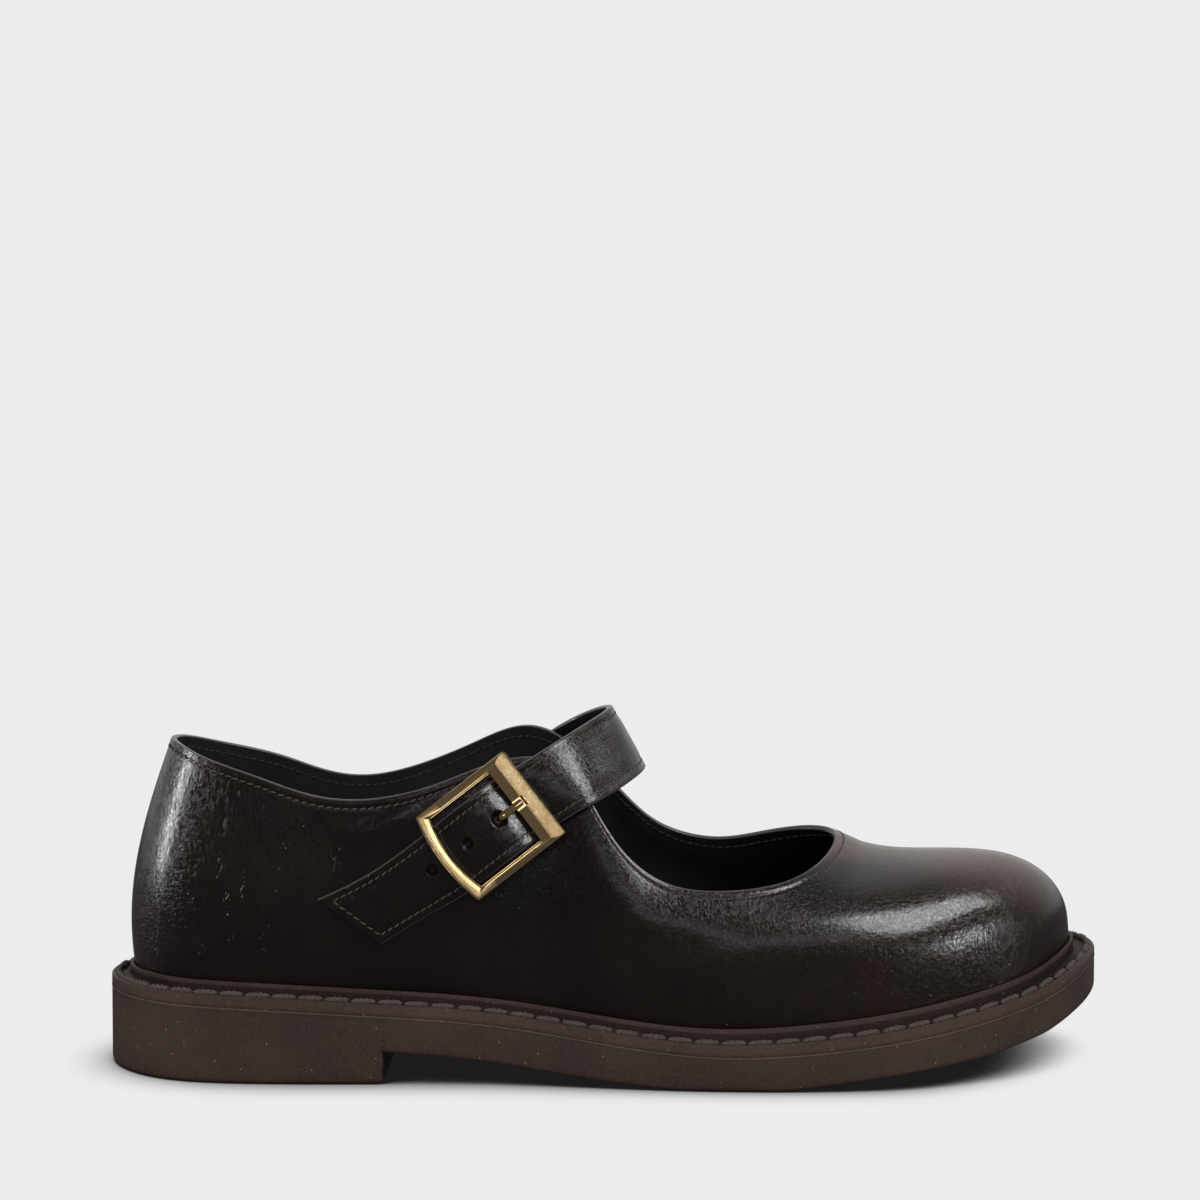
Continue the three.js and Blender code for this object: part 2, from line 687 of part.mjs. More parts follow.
// Strap: a band between its two edges, with three punched holes
function strapGeometry() {
  const rows = strapRows();
  const edge = (side) => new THREE.CatmullRomCurve3(rows.map((row) => row[side]), false, 'centripetal');
  const rear = edge('rear');
  const front = edge('front');
  const count = (rows.length - 1) * STRAP_STEPS;
  const under = [];
  for (let i = 0; i <= count; i += 1) {
    const a = rear.getPoint(i / count);
    const b = front.getPoint(i / count);
    const line = [];
    for (let k = 0; k <= STRAP_ACROSS; k += 1) line.push(restOnUpper(a.clone().lerp(b, k / STRAP_ACROSS)));
    under.push(line);
  }
  const normalAt = (i, k) => {
    const before = under[Math.max(i - 1, 0)][k];
    const after = under[Math.min(i + 1, count)][k];
    const low = under[i][Math.max(k - 1, 0)];
    const high = under[i][Math.min(k + 1, STRAP_ACROSS)];
    return after.clone().sub(before).cross(low.clone().sub(high)).normalize();
  };
  const sections = under.map((line, i) => {
    const over = line.map((point, k) => point.clone().addScaledVector(normalAt(i, k), STRAP_THICK));
    return [...line, ...over.reverse()];
  });
  const caps = [];
  const size = 2 * (STRAP_ACROSS + 1);
  for (let k = 0; k < STRAP_ACROSS; k += 1) caps.push([k, k + 1, size - 2 - k, size - 1 - k]);
  let strap = toSolid(barSolid(sections, caps));
  const PUNCH_LENGTH = 12;
  const PUNCH_SIDES = 12;
  const cut = (width, place) => {
    const punch = new THREE.CylinderGeometry(width / 2, width / 2, PUNCH_LENGTH, PUNCH_SIDES);
    punch.rotateX(Math.PI / 2);
    strap = strap.subtract(toSolid(punch.applyMatrix4(place)));
  };
  for (const hole of STRAP_HOLES) {
    const at = new THREE.Vector3(hole.along, 0, 0).applyMatrix4(buckleFrame);
    cut(hole.width, buckleFrame.clone().setPosition(at));
  }
  cut(TAIL_HOLE.width, buckleFrame.clone().setPosition(TAIL_HOLE.x, TAIL_HOLE.y, TAIL_HOLE.z));
  return toGeometry(strap);
}

// Buckle frame: flat catch bar with a sloped inner face and a notch for the prong, bowed
// rear bar, two rails, and the hidden pin bar on its posts
function frameGeometry() {
  const { length, width, thick } = BUCKLE;
  const EDGE = 0.3;
  const BOW_STEPS = 8;
  const section = (outX, y, end, bow) => {
    const reach = length / 2 + bow;
    const point = (inX, inY, z) => new THREE.Vector3(
      outX * (reach - inX), y * (width / 2 - inY), z);
    return [
      point(0, 0, -thick),
      point(0, 0, -EDGE),
      point(EDGE, EDGE, 0),
      point(end.flat, SIDE_RAIL.flat, 0),
      point(end.flat + end.slope, SIDE_RAIL.flat + SIDE_RAIL.slope, -end.fall),
      point(end.flat + end.slope, SIDE_RAIL.flat + SIDE_RAIL.slope, -thick),
    ];
  };
  const sections = [section(1, -1, CATCH_BAR, 0), section(1, 1, CATCH_BAR, 0)];
  for (let i = 0; i <= BOW_STEPS; i += 1) {
    const y = 1 - (2 * i) / BOW_STEPS;
    sections.push(section(-1, y, REAR_BAR, REAR_BAR.bow * (1 - y * y)));
  }
  let solid = toSolid(ringSolid(sections));
  const box = (x0, x1, y0, y1, z0, z1) => {
    const block = new THREE.BoxGeometry(x1 - x0, y1 - y0, z1 - z0);
    block.translate((x0 + x1) / 2, (y0 + y1) / 2, (z0 + z1) / 2);
    return toSolid(block);
  };
  solid = solid.subtract(box(NOTCH.from, NOTCH.to, -NOTCH.width / 2, NOTCH.width / 2, NOTCH.floor, 1));
  const rear = PIN_BAR.along - PIN_BAR.thick / 2;
  const ahead = rear + PIN_BAR.thick;
  const base = PIN_BAR.top - PIN_BAR.thick;
  const POST = { inset: 0.6, lap: 0.4 };
  const postOut = width / 2 - POST.inset;
  const postIn = width / 2 - SIDE_RAIL.flat - SIDE_RAIL.slope + POST.lap;
  solid = solid.add(box(rear, ahead, -postOut, postOut, base, PIN_BAR.top));
  solid = solid.add(box(rear, ahead, postIn, postOut, base, -thick / 2));
  solid = solid.add(box(rear, ahead, -postOut, -postIn, base, -thick / 2));
  return toGeometry(solid).applyMatrix4(buckleFrame);
}

// A flat profile in the buckle's side view, given a width across the strap
function sideProfile(corners, width) {
  const shape = new THREE.Shape(corners.map(([x, z]) => new THREE.Vector2(x, z)));
  const geometry = new THREE.ExtrudeGeometry(shape, { depth: width, bevelEnabled: false });
  geometry.rotateX(Math.PI / 2);
  geometry.translate(0, width / 2, 0);
  return geometry;
}

// Prong: hooks round the pin bar, comes up through the strap and lies in the catch bar's notch
const PRONG_PROFILE = [
  { along: -0.6, out: -5.35 },
  { along: -0.6, out: -4.95 },
  { along: -1.85, out: -4.95 },
  { along: -1.85, out: -3.3 },
  { along: 2.3, out: -3.3 },
  { along: 3.7, out: -0.4 },
  { along: 8, out: -1 },
  { along: 10.1, out: -1 },
  { along: 10.3, out: -0.5 },
  { along: 10, out: 0 },
  { along: 8, out: 0.05 },
  { along: 4.2, out: 0.6 },
  { along: 2.9, out: 0.45 },
  { along: 1.5, out: -2.4 },
  { along: -2.2, out: -2.4 },
  { along: -2.75, out: -3 },
  { along: -2.75, out: -5 },
  { along: -2.4, out: -5.35 },
];
function prongGeometry() {
  const corners = PRONG_PROFILE.map((row) => [row.along, row.out]);
  return sideProfile(corners, PRONG_WIDTH).applyMatrix4(buckleFrame);
}

// Loop: thin leather folded round the pin bar and sewn to the upper, slotted for the prong
function loopGeometry() {
  const { thick, reach, width } = LOOP;
  const rear = PIN_BAR.along - PIN_BAR.thick / 2 - CLEARANCE;
  const ahead = PIN_BAR.along + PIN_BAR.thick / 2 + CLEARANCE;
  const top = PIN_BAR.top + CLEARANCE;
  const under = PIN_BAR.top - PIN_BAR.thick - CLEARANCE;
  const tail = PIN_BAR.along - reach;
  const FOLD = 0.4;
  const folded = [
    [tail, under + 2 * thick],
    [rear, under - thick],
    [ahead + thick - FOLD, under - thick],
    [ahead + thick, under - thick + FOLD],
    [ahead + thick, top + thick - FOLD],
    [ahead + thick - FOLD, top + thick],
    [rear - thick, top + thick],
    [tail, under + 3 * thick],
  ];
  let solid = toSolid(sideProfile(folded, width));
  const hollow = sideProfile([[rear, under], [ahead, under], [ahead, top], [rear, top]], width + 2);
  solid = solid.subtract(toSolid(hollow));
  const slotEnd = rear - 2 * thick - CLEARANCE;
  const slot = [[slotEnd, under - 2], [ahead + 2, under - 2], [ahead + 2, top + 2], [slotEnd, top + 2]];
  solid = solid.subtract(toSolid(sideProfile(slot, PRONG_WIDTH + 2 * CLEARANCE)));
  return toGeometry(solid).applyMatrix4(buckleFrame);
}

const rubber = new THREE.MeshStandardMaterial({ color: 0x3e2d29, roughness: 0.75, metalness: 0 });
const weltRubber = new THREE.MeshStandardMaterial({ color: 0x473330, roughness: 0.7, metalness: 0 });
const leather = new THREE.MeshStandardMaterial({ color: 0x1b1210, roughness: 0.35, metalness: 0 });
const strapLeather = new THREE.MeshStandardMaterial({ color: 0x1d1412, roughness: 0.35, metalness: 0 });
const lining = new THREE.MeshStandardMaterial({ color: 0x0e0c0c, roughness: 0.8, metalness: 0 });
const gold = new THREE.MeshStandardMaterial({ color: 0xc49a5a, roughness: 0.25, metalness: 1 });

const pieces = [
  ['outsole', outsoleGeometry(), rubber],
  ['welt', weltGeometry(), weltRubber],
  ['insole', insoleGeometry(), lining],
  ['upper', upperGeometry(), leather],
  ['strap', strapGeometry(), strapLeather],
  ['buckle_frame', frameGeometry(), gold],
  ['buckle_prong', prongGeometry(), gold],
  ['buckle_loop', loopGeometry(), strapLeather],
];

// The sole's plan is centred on the origin, and the tread stands on Z 0
const shoe = new THREE.Group();
const plan = new THREE.Box2();
for (const at of STATIONS) {
  const edge = outline(at);
  plan.expandByPoint(new THREE.Vector2(edge.x, edge.y));
}
const centre = plan.getCenter(new THREE.Vector2());
shoe.position.set(-centre.x, -centre.y, 0);
for (const [name, geometry, material] of pieces) {
  const mesh = new THREE.Mesh(geometry, material);
  mesh.name = name;
  shoe.add(mesh);
}

export default shoe;
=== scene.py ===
import math

import bmesh
import bpy
import numpy as np
from mathutils import Matrix, Vector
from mathutils.bvhtree import BVHTree


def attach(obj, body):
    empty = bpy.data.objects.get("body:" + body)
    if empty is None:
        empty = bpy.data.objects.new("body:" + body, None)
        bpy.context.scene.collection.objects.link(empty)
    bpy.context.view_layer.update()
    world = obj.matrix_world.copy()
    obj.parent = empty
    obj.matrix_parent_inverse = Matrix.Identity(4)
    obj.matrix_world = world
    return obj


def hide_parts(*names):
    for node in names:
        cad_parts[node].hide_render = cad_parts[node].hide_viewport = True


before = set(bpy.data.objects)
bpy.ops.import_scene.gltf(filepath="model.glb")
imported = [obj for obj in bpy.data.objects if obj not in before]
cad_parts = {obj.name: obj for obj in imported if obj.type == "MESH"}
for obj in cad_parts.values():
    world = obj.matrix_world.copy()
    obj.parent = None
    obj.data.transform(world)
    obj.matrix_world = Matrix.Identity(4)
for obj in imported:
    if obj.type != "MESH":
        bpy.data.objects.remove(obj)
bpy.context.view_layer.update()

# A right strap shoe in dark glossy leather on a moulded sole. The tables are in millimetres, with X to
# the toe, Y to the inner side and Z up. SHIFT moves them into the part's own frame.
MM = 0.001
SHIFT = np.array([-2.2696, -3.6573, 0.0])

# Sizes that pieces share
CLEARANCE = 0.3
LEATHER = 2.0
TOP_EDGE = 1.5
STRAP_THICK = 1.7
WELT_THICK = 3.2
WELT_WIDTH = 7.0
RAND_RISE = 2.6
LASTING_MARGIN = 8.0
INSOLE_THICK = 3.0
HEEL_BREAST_X = -56.0
HEEL_RISE = 8.2
TREAD_EDGE = 1.6

# Places round the shoe: 0 at the heel, the outer side up to TOE, the inner side back to ROUND
ROUND = 16.0
TOE = 8.0

# Stitches: distance in from the edge, pitch, how deep they sink the leather; length, width, height
TOPLINE_STITCH, LINING_STITCH, WELT_STITCH, STRAP_STITCH = 2.05, 2.6, 2.0, 1.85
TOPLINE_PITCH, WELT_PITCH, STRAP_PITCH = 2.2, 6.85, 2.0
SEAM_DEPTH = 0.16
TOPLINE_THREAD, STRAP_THREAD, WELT_THREAD = (1.8, 0.44, 0.46), (1.6, 0.42, 0.44), (6.7, 1.9, 2.0)

# Edge of the sole: place round the shoe, x, y
OUTLINE = [
    (0, -132.2, 0), (0.5, -128.7, -13.6), (1, -119, -24.8), (2, -93, -32.9), (3, -62, -33.6),
    (4, -30, -34.2), (5, 3, -38.2), (6, 36, -41.3), (6.6, 60, -41.2), (7.1, 84, -37.8),
    (7.45, 104, -29.8), (7.75, 122, -17), (8, 134.2, 1.5), (8.25, 136.8, 15.5), (8.55, 132.8, 29.5),
    (8.9, 119.5, 39.5), (9.4, 95, 46.5), (9.9, 69, 48.8), (10.5, 38, 46), (11.2, 3, 37),
    (12, -30, 29.5), (13, -62, 29.8), (14, -93, 32), (15, -119, 24.5), (15.5, -128.7, 13.2),
]

# Outer edge of collar and throat: place, x, y, z
TOPLINE = [
    (0, -116, 0, 86.6), (0.6, -113, -9, 85.6), (1.1, -106, -17, 83.2), (2, -88, -24.5, 77.8),
    (3, -64, -28, 72.7), (3.6, -44, -27.6, 76.2), (4.2, -23, -23, 83), (4.5, -13, -22, 82.6),
    (4.75, -6.5, -24, 78.5), (5, -1.5, -27, 71), (5.3, 5.5, -30, 60.5), (5.65, 16, -31.5, 52.2),
    (6.1, 31, -31.5, 49.6), (6.6, 46, -28, 50.9), (7.1, 55.5, -20.5, 53.7), (7.6, 62, -8, 57),
    (8, 64.6, 3, 59.6), (8.4, 62.8, 11.5, 60.4), (8.9, 56, 20.5, 59.4), (9.5, 44, 26.5, 56.6),
    (10.1, 29, 28.5, 55.4), (10.5, 16, 27, 60), (10.8, 8, 24.5, 67), (11.1, 1, 22.5, 74.5),
    (11.4, -7, 20.5, 82), (11.75, -18, 21.5, 87.3), (12.3, -36, 25.5, 82), (13, -62, 27, 73.2),
    (14, -88, 25, 78.1), (14.9, -106, 17, 83.5), (15.4, -113, 9, 85.9),
]

# How the wall leaves the sole and reaches the topline: place, rise, lean, drop, tuck, lift
FORM = [
    (0, 26, 12, 20, 19, 0), (1, 26, 12, 20, 17, 0), (2, 24, 12, 20, 12, 0), (3, 20, 12, 18, 6, 0),
    (4, 20, 14, 22, 16, 0), (5, 20, 15, 18, 26, 0.6), (6, 22, 14, 16, 45, 1.6), (7, 27, 9, 24, 78, 2.6),
    (8, 31.5, 4, 43, 90, 3.8), (8.6, 29, 5, 38, 80, 4.2), (9.2, 26, 8, 26, 66, 2.6),
    (10, 21, 12, 18, 44, 1.4), (11, 22, 12, 20, 24, 0.5), (12, 22, 10, 22, 10, 0),
    (13, 20, 11, 18, 4, 0), (14, 24, 11, 20, 12, 0), (15, 26, 12, 20, 17, 0),
]

# Heights along the shoe: x, z
WELT_TOP = [
    (-131, 23.7), (-96, 22.9), (-60, 21.1), (-24, 18.4), (4, 14.5), (30, 12.1), (59, 13.5), (87, 17),
    (118, 23.2), (138, 29.6),
]
TREAD = [
    (-56, HEEL_RISE), (-38, 6.9), (-24, 5.2), (-10, 3.1), (4, 1.3), (18, 0), (48, 0), (60, 1.5),
    (73, 3.2), (87, 4.9), (102, 6.9), (118, 10), (137, 15.5),
]

# Underside of the strap, rear edge and front edge
STRAP_TAIL = [
    ((-72.2, -29.6, 47.6), (-56.7, -29.6, 36.4)),
    ((-57.8, -29.6, 55), (-43.8, -30.6, 44.3)),
]
STRAP_INSTEP = [
    ((-20, -26.8, 82), (-9, -28.8, 68.5)),
    ((-11, -22.4, 87.2), (-2.3, -27.6, 72)),
    ((-4.6, -14, 90.6), (5.2, -16, 75)),
    ((0.8, -5, 93.4), (10.2, -4.5, 77.5)),
    ((1.6, 3.4, 94), (10.6, 5, 77.8)),
    ((-1.6, 10.4, 92.6), (8.4, 14, 77)),
    ((-7, 17.5, 89.6), (3, 22.8, 74.6)),
    ((-14, 22.2, 85.2), (-4.4, 26.6, 69.8)),
    ((-22, 25.6, 78.8), (-12.4, 28.6, 63.4)),
    ((-30, 27, 72.2), (-20.4, 29.4, 57)),
    ((-37.6, 27.6, 65.8), (-28, 29.6, 50.8)),
]

# Buckle: where it lies, and the strap under it as (along, underside)
BUCKLE_AT = Vector((-28, -33.6, 67.2))
BUCKLE_ALONG = Vector((0.789, 0.14, 0.598)).normalized()
BUCKLE_ACROSS = Vector((0.612, -0.121, -0.781))
STRAP_WIDTH = 18.2
STRAP_SHIFT = 0.5
UNDER_BUCKLE = [(-13.6, -4.5), (-8.5, -3.2), (-3, -2.1), (2.8, -2.2), (7.2, -4.3)]


join = np.concatenate


def curve(rows, loop=0):
    """A curve with an even bend through rows of place and values; with a length it closes."""
    table = np.array(rows, float)
    at, values = table[:, 0], table[:, 1:]
    count = len(at)
    step = np.append(np.diff(at), at[0] + loop - at[-1] if loop else 1)
    before = np.roll(step, 1)
    bend = np.zeros((count, count))
    pull = np.zeros_like(values)
    for i in range(count):
        bend[i, i] = 2
        if not loop and i in (0, count - 1):
            high = max(i, 1)
            bend[i, 1 if i == 0 else i - 1] = 1
            pull[i] = 3 * (values[high] - values[high - 1]) / step[high - 1]
            continue
        after = (i + 1) % count
        share = step[i] / (step[i] + before[i])
        bend[i, i - 1] += share
        bend[i, after] += 1 - share
        back, ahead = (values[i] - values[i - 1]) / before[i], (values[after] - values[i]) / step[i]
        pull[i] = 3 * (share * back + (1 - share) * ahead)
    slope = np.linalg.solve(bend, pull)

    def place(t):
        t = np.asarray(t, float)
        t = (t - at[0]) % loop + at[0] if loop else np.clip(t, at[0], at[-1])
        i = np.clip(np.searchsorted(at, t, side="right") - 1, 0, count - (1 if loop else 2))
        j = (i + 1) % count
        h = step[i][..., None]
        s = ((t - at[i]) / step[i])[..., None]
        ends = values[i] * (1 - s) ** 2 * (1 + 2 * s) + values[j] * s * s * (3 - 2 * s)
        return ends + h * slope[i] * s * (1 - s) ** 2 - h * slope[j] * s * s * (1 - s)

    return place


outline = curve(OUTLINE, ROUND)
topline = curve(TOPLINE, ROUND)
form = curve(FORM, ROUND)
welt_curve = curve(WELT_TOP)
TREAD_ROWS = np.array(TREAD, float)


def welt_top(x):
    return welt_curve(x)[..., 0]


def seat(x):
    return welt_top(x) - WELT_THICK


def tread(x):
    return np.interp(x, TREAD_ROWS[:, 0], TREAD_ROWS[:, 1])


def unit(v):
    return v / np.linalg.norm(v, axis=-1, keepdims=True)


def smooth(t):
    t = np.clip(t, 0, 1)
    return t * t * (3 - 2 * t)


def bell(distance, middle, width):
    return np.exp(-((distance - middle) / width) ** 2)


def angles(start, end, count):
    return np.radians(np.linspace(start, end, count))


def lengths(points):
    """Distance along a line of points, from 0 at the first."""
    return join([[0], np.cumsum(np.linalg.norm(np.diff(points, axis=0), axis=1))])


def outward(at):
    d = outline(at + 0.001) - outline(at - 0.001)
    return unit(np.stack([d[..., 1], -d[..., 0]], -1))


def in_from(at, distance, height):
    """Point of the outline moved in by a distance, at a height taken from its own x."""
    flat = outline(at) - outward(at) * np.asarray(distance)[..., None]
    return join([flat, height(flat[..., 0])[..., None]], -1)


def wall(at, up):
    """Outer face of the upper: up is 0 at the sole and 1 at the topline."""
    outward_share, lift_power = 12, 12
    at, up = np.broadcast_arrays(np.asarray(at, float), np.asarray(up, float))
    rise, lean, drop, tuck, lift = np.moveaxis(form(at), -1, 0)
    out = join([outward(at), np.zeros(at.shape + (1,))], -1)
    z = np.array([0, 0, 1.0])
    foot = in_from(at, WELT_WIDTH, lambda x: seat(x) + CLEARANCE)
    head = topline(at) - lift[..., None] * z
    apart = unit((foot - head) * (1, 1, 0) + out * outward_share)
    lean, tuck = np.radians(lean)[..., None], np.radians(tuck)[..., None]
    low = foot + rise[..., None] * (np.cos(lean) * z + np.sin(lean) * out)
    high = head + drop[..., None] * (-np.cos(tuck) * z + np.sin(tuck) * apart)
    t = up[..., None]
    point = (1 - t) ** 3 * foot + 3 * t * (1 - t) ** 2 * low + 3 * t * t * (1 - t) * high + t ** 3 * head
    return point + (lift * up ** lift_power)[..., None] * z


def wall_normal(at, up):
    near = 0.002
    along = wall(at + near, up) - wall(at - near, up)
    rising = wall(at, np.minimum(up + near, 1)) - wall(at, np.maximum(up - near, 0))
    return unit(np.cross(along, rising))


def up_at_height(at, z):
    """How far up the wall a height lies."""
    low, high = np.zeros_like(at), np.full_like(at, 0.5)
    for _ in range(24):
        middle = (low + high) / 2
        under = wall(at, middle)[..., 2] < z
        low, high = np.where(under, middle, low), np.where(under, high, middle)
    return low


def wall_inset(at, z):
    """Distance in from the outline to the upper's outer face at a height."""
    face = wall(at, up_at_height(at, z))[..., :2]
    return np.sum(outward(at) * (outline(at) - face), -1)


def below_edge(at, distance):
    """How far up the wall a point lies that is a distance below the topline, along the wall."""
    ups = np.linspace(1, 0.4, 61)
    return np.array([np.interp(distance, lengths(line), ups) for line in wall(at[:, None], ups[None, :])])


def even_stations(count, start=0, end=ROUND):
    """Places with even steps along the sole's edge and the topline together."""
    fine = np.linspace(start, end, 4001)
    run = lengths(join([outline(fine), topline(fine)], 1))
    return np.interp(np.linspace(0, run[-1], count), run, fine)


# Distance in metres within which the points of a fine piece are joined
FINE_MERGE = 0.000004


def to_frame(points):
    return (np.asarray(points, float) + SHIFT) * MM


def to_mesh(name, bm):
    mesh = bpy.data.meshes.new(name)
    bm.to_mesh(mesh)
    bm.free()
    return mesh


def stand_in_scene(name, data):
    item = bpy.data.objects.new(name, data)
    bpy.context.scene.collection.objects.link(item)
    return item


def new_piece(name, bm, *materials, slot, replaces=()):
    """Makes a finished object from a bmesh and seats it on the one body."""
    mesh = to_mesh(name, bm)
    mesh.polygons.foreach_set("use_smooth", [True] * len(mesh.polygons))
    for material in materials:
        mesh.materials.append(material)
    piece = stand_in_scene(name, mesh)
    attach(piece, "root")
    if replaces:
        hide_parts(*replaces)
    return piece


def wrapped(places, bands=((0, 0),), merge=0.00001, seated=to_frame):
    """A grid laid on rows of places: the first index runs round the shoe, the second across.

    Each band gives the column it starts at and the number of its material.
    """
    rounds, across = places.shape[:2]
    bm = bmesh.new()
    bm.loops.layers.uv.new("UVMap")
    bmesh.ops.create_grid(bm, x_segments=rounds - 1, y_segments=across - 1, size=1, calc_uvs=True)
    spots = seated(places)
    for vert in bm.verts:
        i = round((vert.co.x + 1) / 2 * (rounds - 1))
        k = round((vert.co.y + 1) / 2 * (across - 1))
        vert.co = spots[i, k]
        vert.index = i * across + k
    for face in bm.faces:
        column = min(vert.index % across for vert in face.verts)
        face.material_index = [number for start, number in bands if start <= column][-1]
    bmesh.ops.remove_doubles(bm, verts=bm.verts, dist=merge)
    bmesh.ops.recalc_face_normals(bm, faces=bm.faces)
    return bm


def add(tree, kind, sockets=None, **settings):
    """One shader node, with its settings and with values or links for its sockets."""
    node = tree.nodes.new("ShaderNode" + kind)
    for key, value in settings.items():
        setattr(node, key, value)
    for key, value in (sockets or {}).items():
        if isinstance(value, bpy.types.NodeSocket):
            tree.links.new(value, node.inputs[key])
        else:
            node.inputs[key].default_value = value
    return node


def emptied(owner):
    """The node tree of a material or a world, with nothing in it."""
    owner.use_nodes = True
    owner.node_tree.nodes.clear()
    return owner.node_tree


def new_material(name):
    """Gives a material and its Object coordinates."""
    material = bpy.data.materials.new(name)
    return material, add(emptied(material), "TexCoord").outputs["Object"]


def finish(material, colour, rough, normal, **values):
    """Puts one shader on a material."""
    sockets = {name.replace("_", " "): value for name, value in values.items()}
    sockets.update({"Base Color": colour, "Roughness": rough, "Normal": normal})
    shader = add(material.node_tree, "BsdfPrincipled", sockets)
    add(material.node_tree, "OutputMaterial", {"Surface": shader.outputs[0]})
    return material


def noise(where, scale, detail=3.0, warp=0.0):
    sockets = {"Vector": where, "Scale": scale, "Detail": detail, "Distortion": warp}
    return add(where.id_data, "TexNoise", sockets).outputs["Fac"]


def cells(where, scale, feature="F1"):
    return add(where.id_data, "TexVoronoi", {"Vector": where, "Scale": scale}, feature=feature)


def stretch(where, scale, turn=(0, 0, 0)):
    sockets = {"Vector": where, "Scale": scale, "Rotation": turn}
    return add(where.id_data, "Mapping", sockets).outputs[0]


def sums(kind, a, b=0.0, c=0.0):
    return add(a.id_data, "Math", {0: a, 1: b, 2: c}, operation=kind).outputs[0]


def times(a, b):
    return sums("MULTIPLY", a, b)


def spread(value, low, high, to_low=0.0, to_high=1.0):
    sockets = {"Value": value, "From Min": low, "From Max": high, "To Min": to_low, "To Max": to_high}
    return add(value.id_data, "MapRange", sockets, interpolation_type="SMOOTHSTEP").outputs[0]


def tint(share, a, b):
    """Colour a where the share is 0 and b where it is 1; either may come from other nodes."""
    a, b = (value if isinstance(value, bpy.types.NodeSocket) else (*value, 1) for value in (a, b))
    return add(share.id_data, "Mix", {0: share, 6: a, 7: b}, data_type="RGBA").outputs[2]


def bump(height, millimetres, under=None):
    sockets = {"Height": height, "Distance": millimetres * MM, "Strength": 1.0}
    if under is not None:
        sockets["Normal"] = under
    return add(height.id_data, "Bump", sockets).outputs[0]


def near_to(where, spot, inner, outer):
    """1 within inner millimetres of a spot of the shoe, falling to 0 at outer."""
    away = add(where.id_data, "VectorMath", {0: where, 1: tuple(to_frame(spot))}, operation="DISTANCE")
    return spread(away.outputs["Value"], inner * MM, outer * MM, 1.0, 0.0)


def specks(where, scale, size, share):
    """Small light dots of dust in a share of the cells."""
    dots = cells(where, scale)
    near = spread(dots.outputs["Distance"], size * 0.5, size, 1.0, 0.0)
    pick = add(where.id_data, "SeparateColor", {0: dots.outputs["Color"]}).outputs[0]
    return times(near, sums("LESS_THAN", pick, share))


# Colours that materials share
LEATHER_DARK = (0.0031, 0.0019, 0.0016)
LEATHER_BROWN = (0.0112, 0.006, 0.0047)
# Lighter brown of the burnish, partly real burnish and partly painted sheen on the toe and vamp tops
LEATHER_BURNISH_SHEEN = (0.044, 0.0255, 0.0205)
DUST = (0.13, 0.115, 0.1)
RUBBER_SPECK = (0.2, 0.145, 0.12)


def glossy_leather(name, crinkled, burnish_sheen_spots=()):
    """Dark brown glossy leather with fine grain; both lists give spots with an inner and outer reach."""
    pebble_depth, net_depth, score_depth, wave_depth = 0.045, 0.016, 0.13, 0.09
    material, where = new_material(name)
    cloud = noise(where, 22, 4, 0.3)
    fleck = noise(where, 210, 5, 0.6)
    share = times(spread(cloud, 0.3, 0.8), spread(fleck, 0.3, 0.75, 0.65, 1.0))
    colour = tint(share, LEATHER_DARK, LEATHER_BROWN)
    # Burnished spots: partly the leather's own burnish, partly painted sheen on the upward-facing toe and
    # vamp
    for spot in burnish_sheen_spots:
        burnish_sheen = times(near_to(where, *spot), spread(fleck, 0.25, 0.7, 0.7, 1.0))
        colour = tint(burnish_sheen, colour, LEATHER_BURNISH_SHEEN)
    colour = tint(specks(where, 430, 0.08, 0.035), colour, DUST)
    crinkle = near_to(where, *crinkled[0])
    for spot in crinkled[1:]:
        crinkle = sums("MAXIMUM", crinkle, near_to(where, *spot))
    upright = noise(stretch(where, (1, 1, 0.4), (0, 0.2, 0)), 1050, 3, 0.7)
    slanted = noise(stretch(where, (0.5, 1, 1), (0, 0.6, 0)), 1100, 3, 0.7)
    folds = [sums("ABSOLUTE", sums("SUBTRACT", way, 0.5)) for way in (upright, slanted)]
    net = spread(sums("MINIMUM", *folds), 0.0, 0.045)
    pebble = cells(where, 1000, "SMOOTH_F1").outputs["Distance"]
    grain = sums("MULTIPLY_ADD", noise(where, 1900, 3, 0.5), 0.7, pebble)
    rows = spread(noise(stretch(where, (1, 1, 0.22), (0, 0.15, 0)), 230, 2, 0.3), 0.5, 0.6)
    scored = times(times(spread(upright, 0.57, 0.68), rows), crinkle)
    normal = bump(net, net_depth, bump(grain, pebble_depth))
    normal = bump(scored, score_depth, normal)
    normal = bump(noise(where, 85, 2, 0.4), wave_depth, normal)
    rough = spread(noise(where, 60, 4), 0.3, 0.7, 0.14, 0.19)
    return finish(material, colour, rough, normal, Specular_IOR_Level=0.5)


def moulded_rubber(name, dark, light, shine):
    """Brown moulded rubber with a fine sandy skin and a few light specks."""
    material, where = new_material(name)
    sand = noise(where, 1700, 2)
    share = sums("MULTIPLY_ADD", noise(where, 35, 4, 0.3), 0.6, times(sand, 0.5))
    colour = tint(spread(share, 0.35, 0.75), dark, light)
    colour = tint(specks(where, 600, 0.15, 0.2), colour, RUBBER_SPECK)
    normal = bump(noise(where, 260, 3), 0.08, bump(sand, 0.07))
    rough = spread(sand, 0.3, 0.7, shine, shine + 0.15)
    return finish(material, colour, rough, normal, Specular_IOR_Level=0.22)


def soft_lining(name):
    material, where = new_material(name)
    cloud = noise(where, 40, 3)
    colour = tint(cloud, (0.0032, 0.003, 0.003), (0.0065, 0.006, 0.006))
    pores = cells(where, 1300).outputs["Distance"]
    rough = spread(cloud, 0.3, 0.7, 0.55, 0.7)
    return finish(material, colour, rough, bump(pores, 0.05), Specular_IOR_Level=0.3)


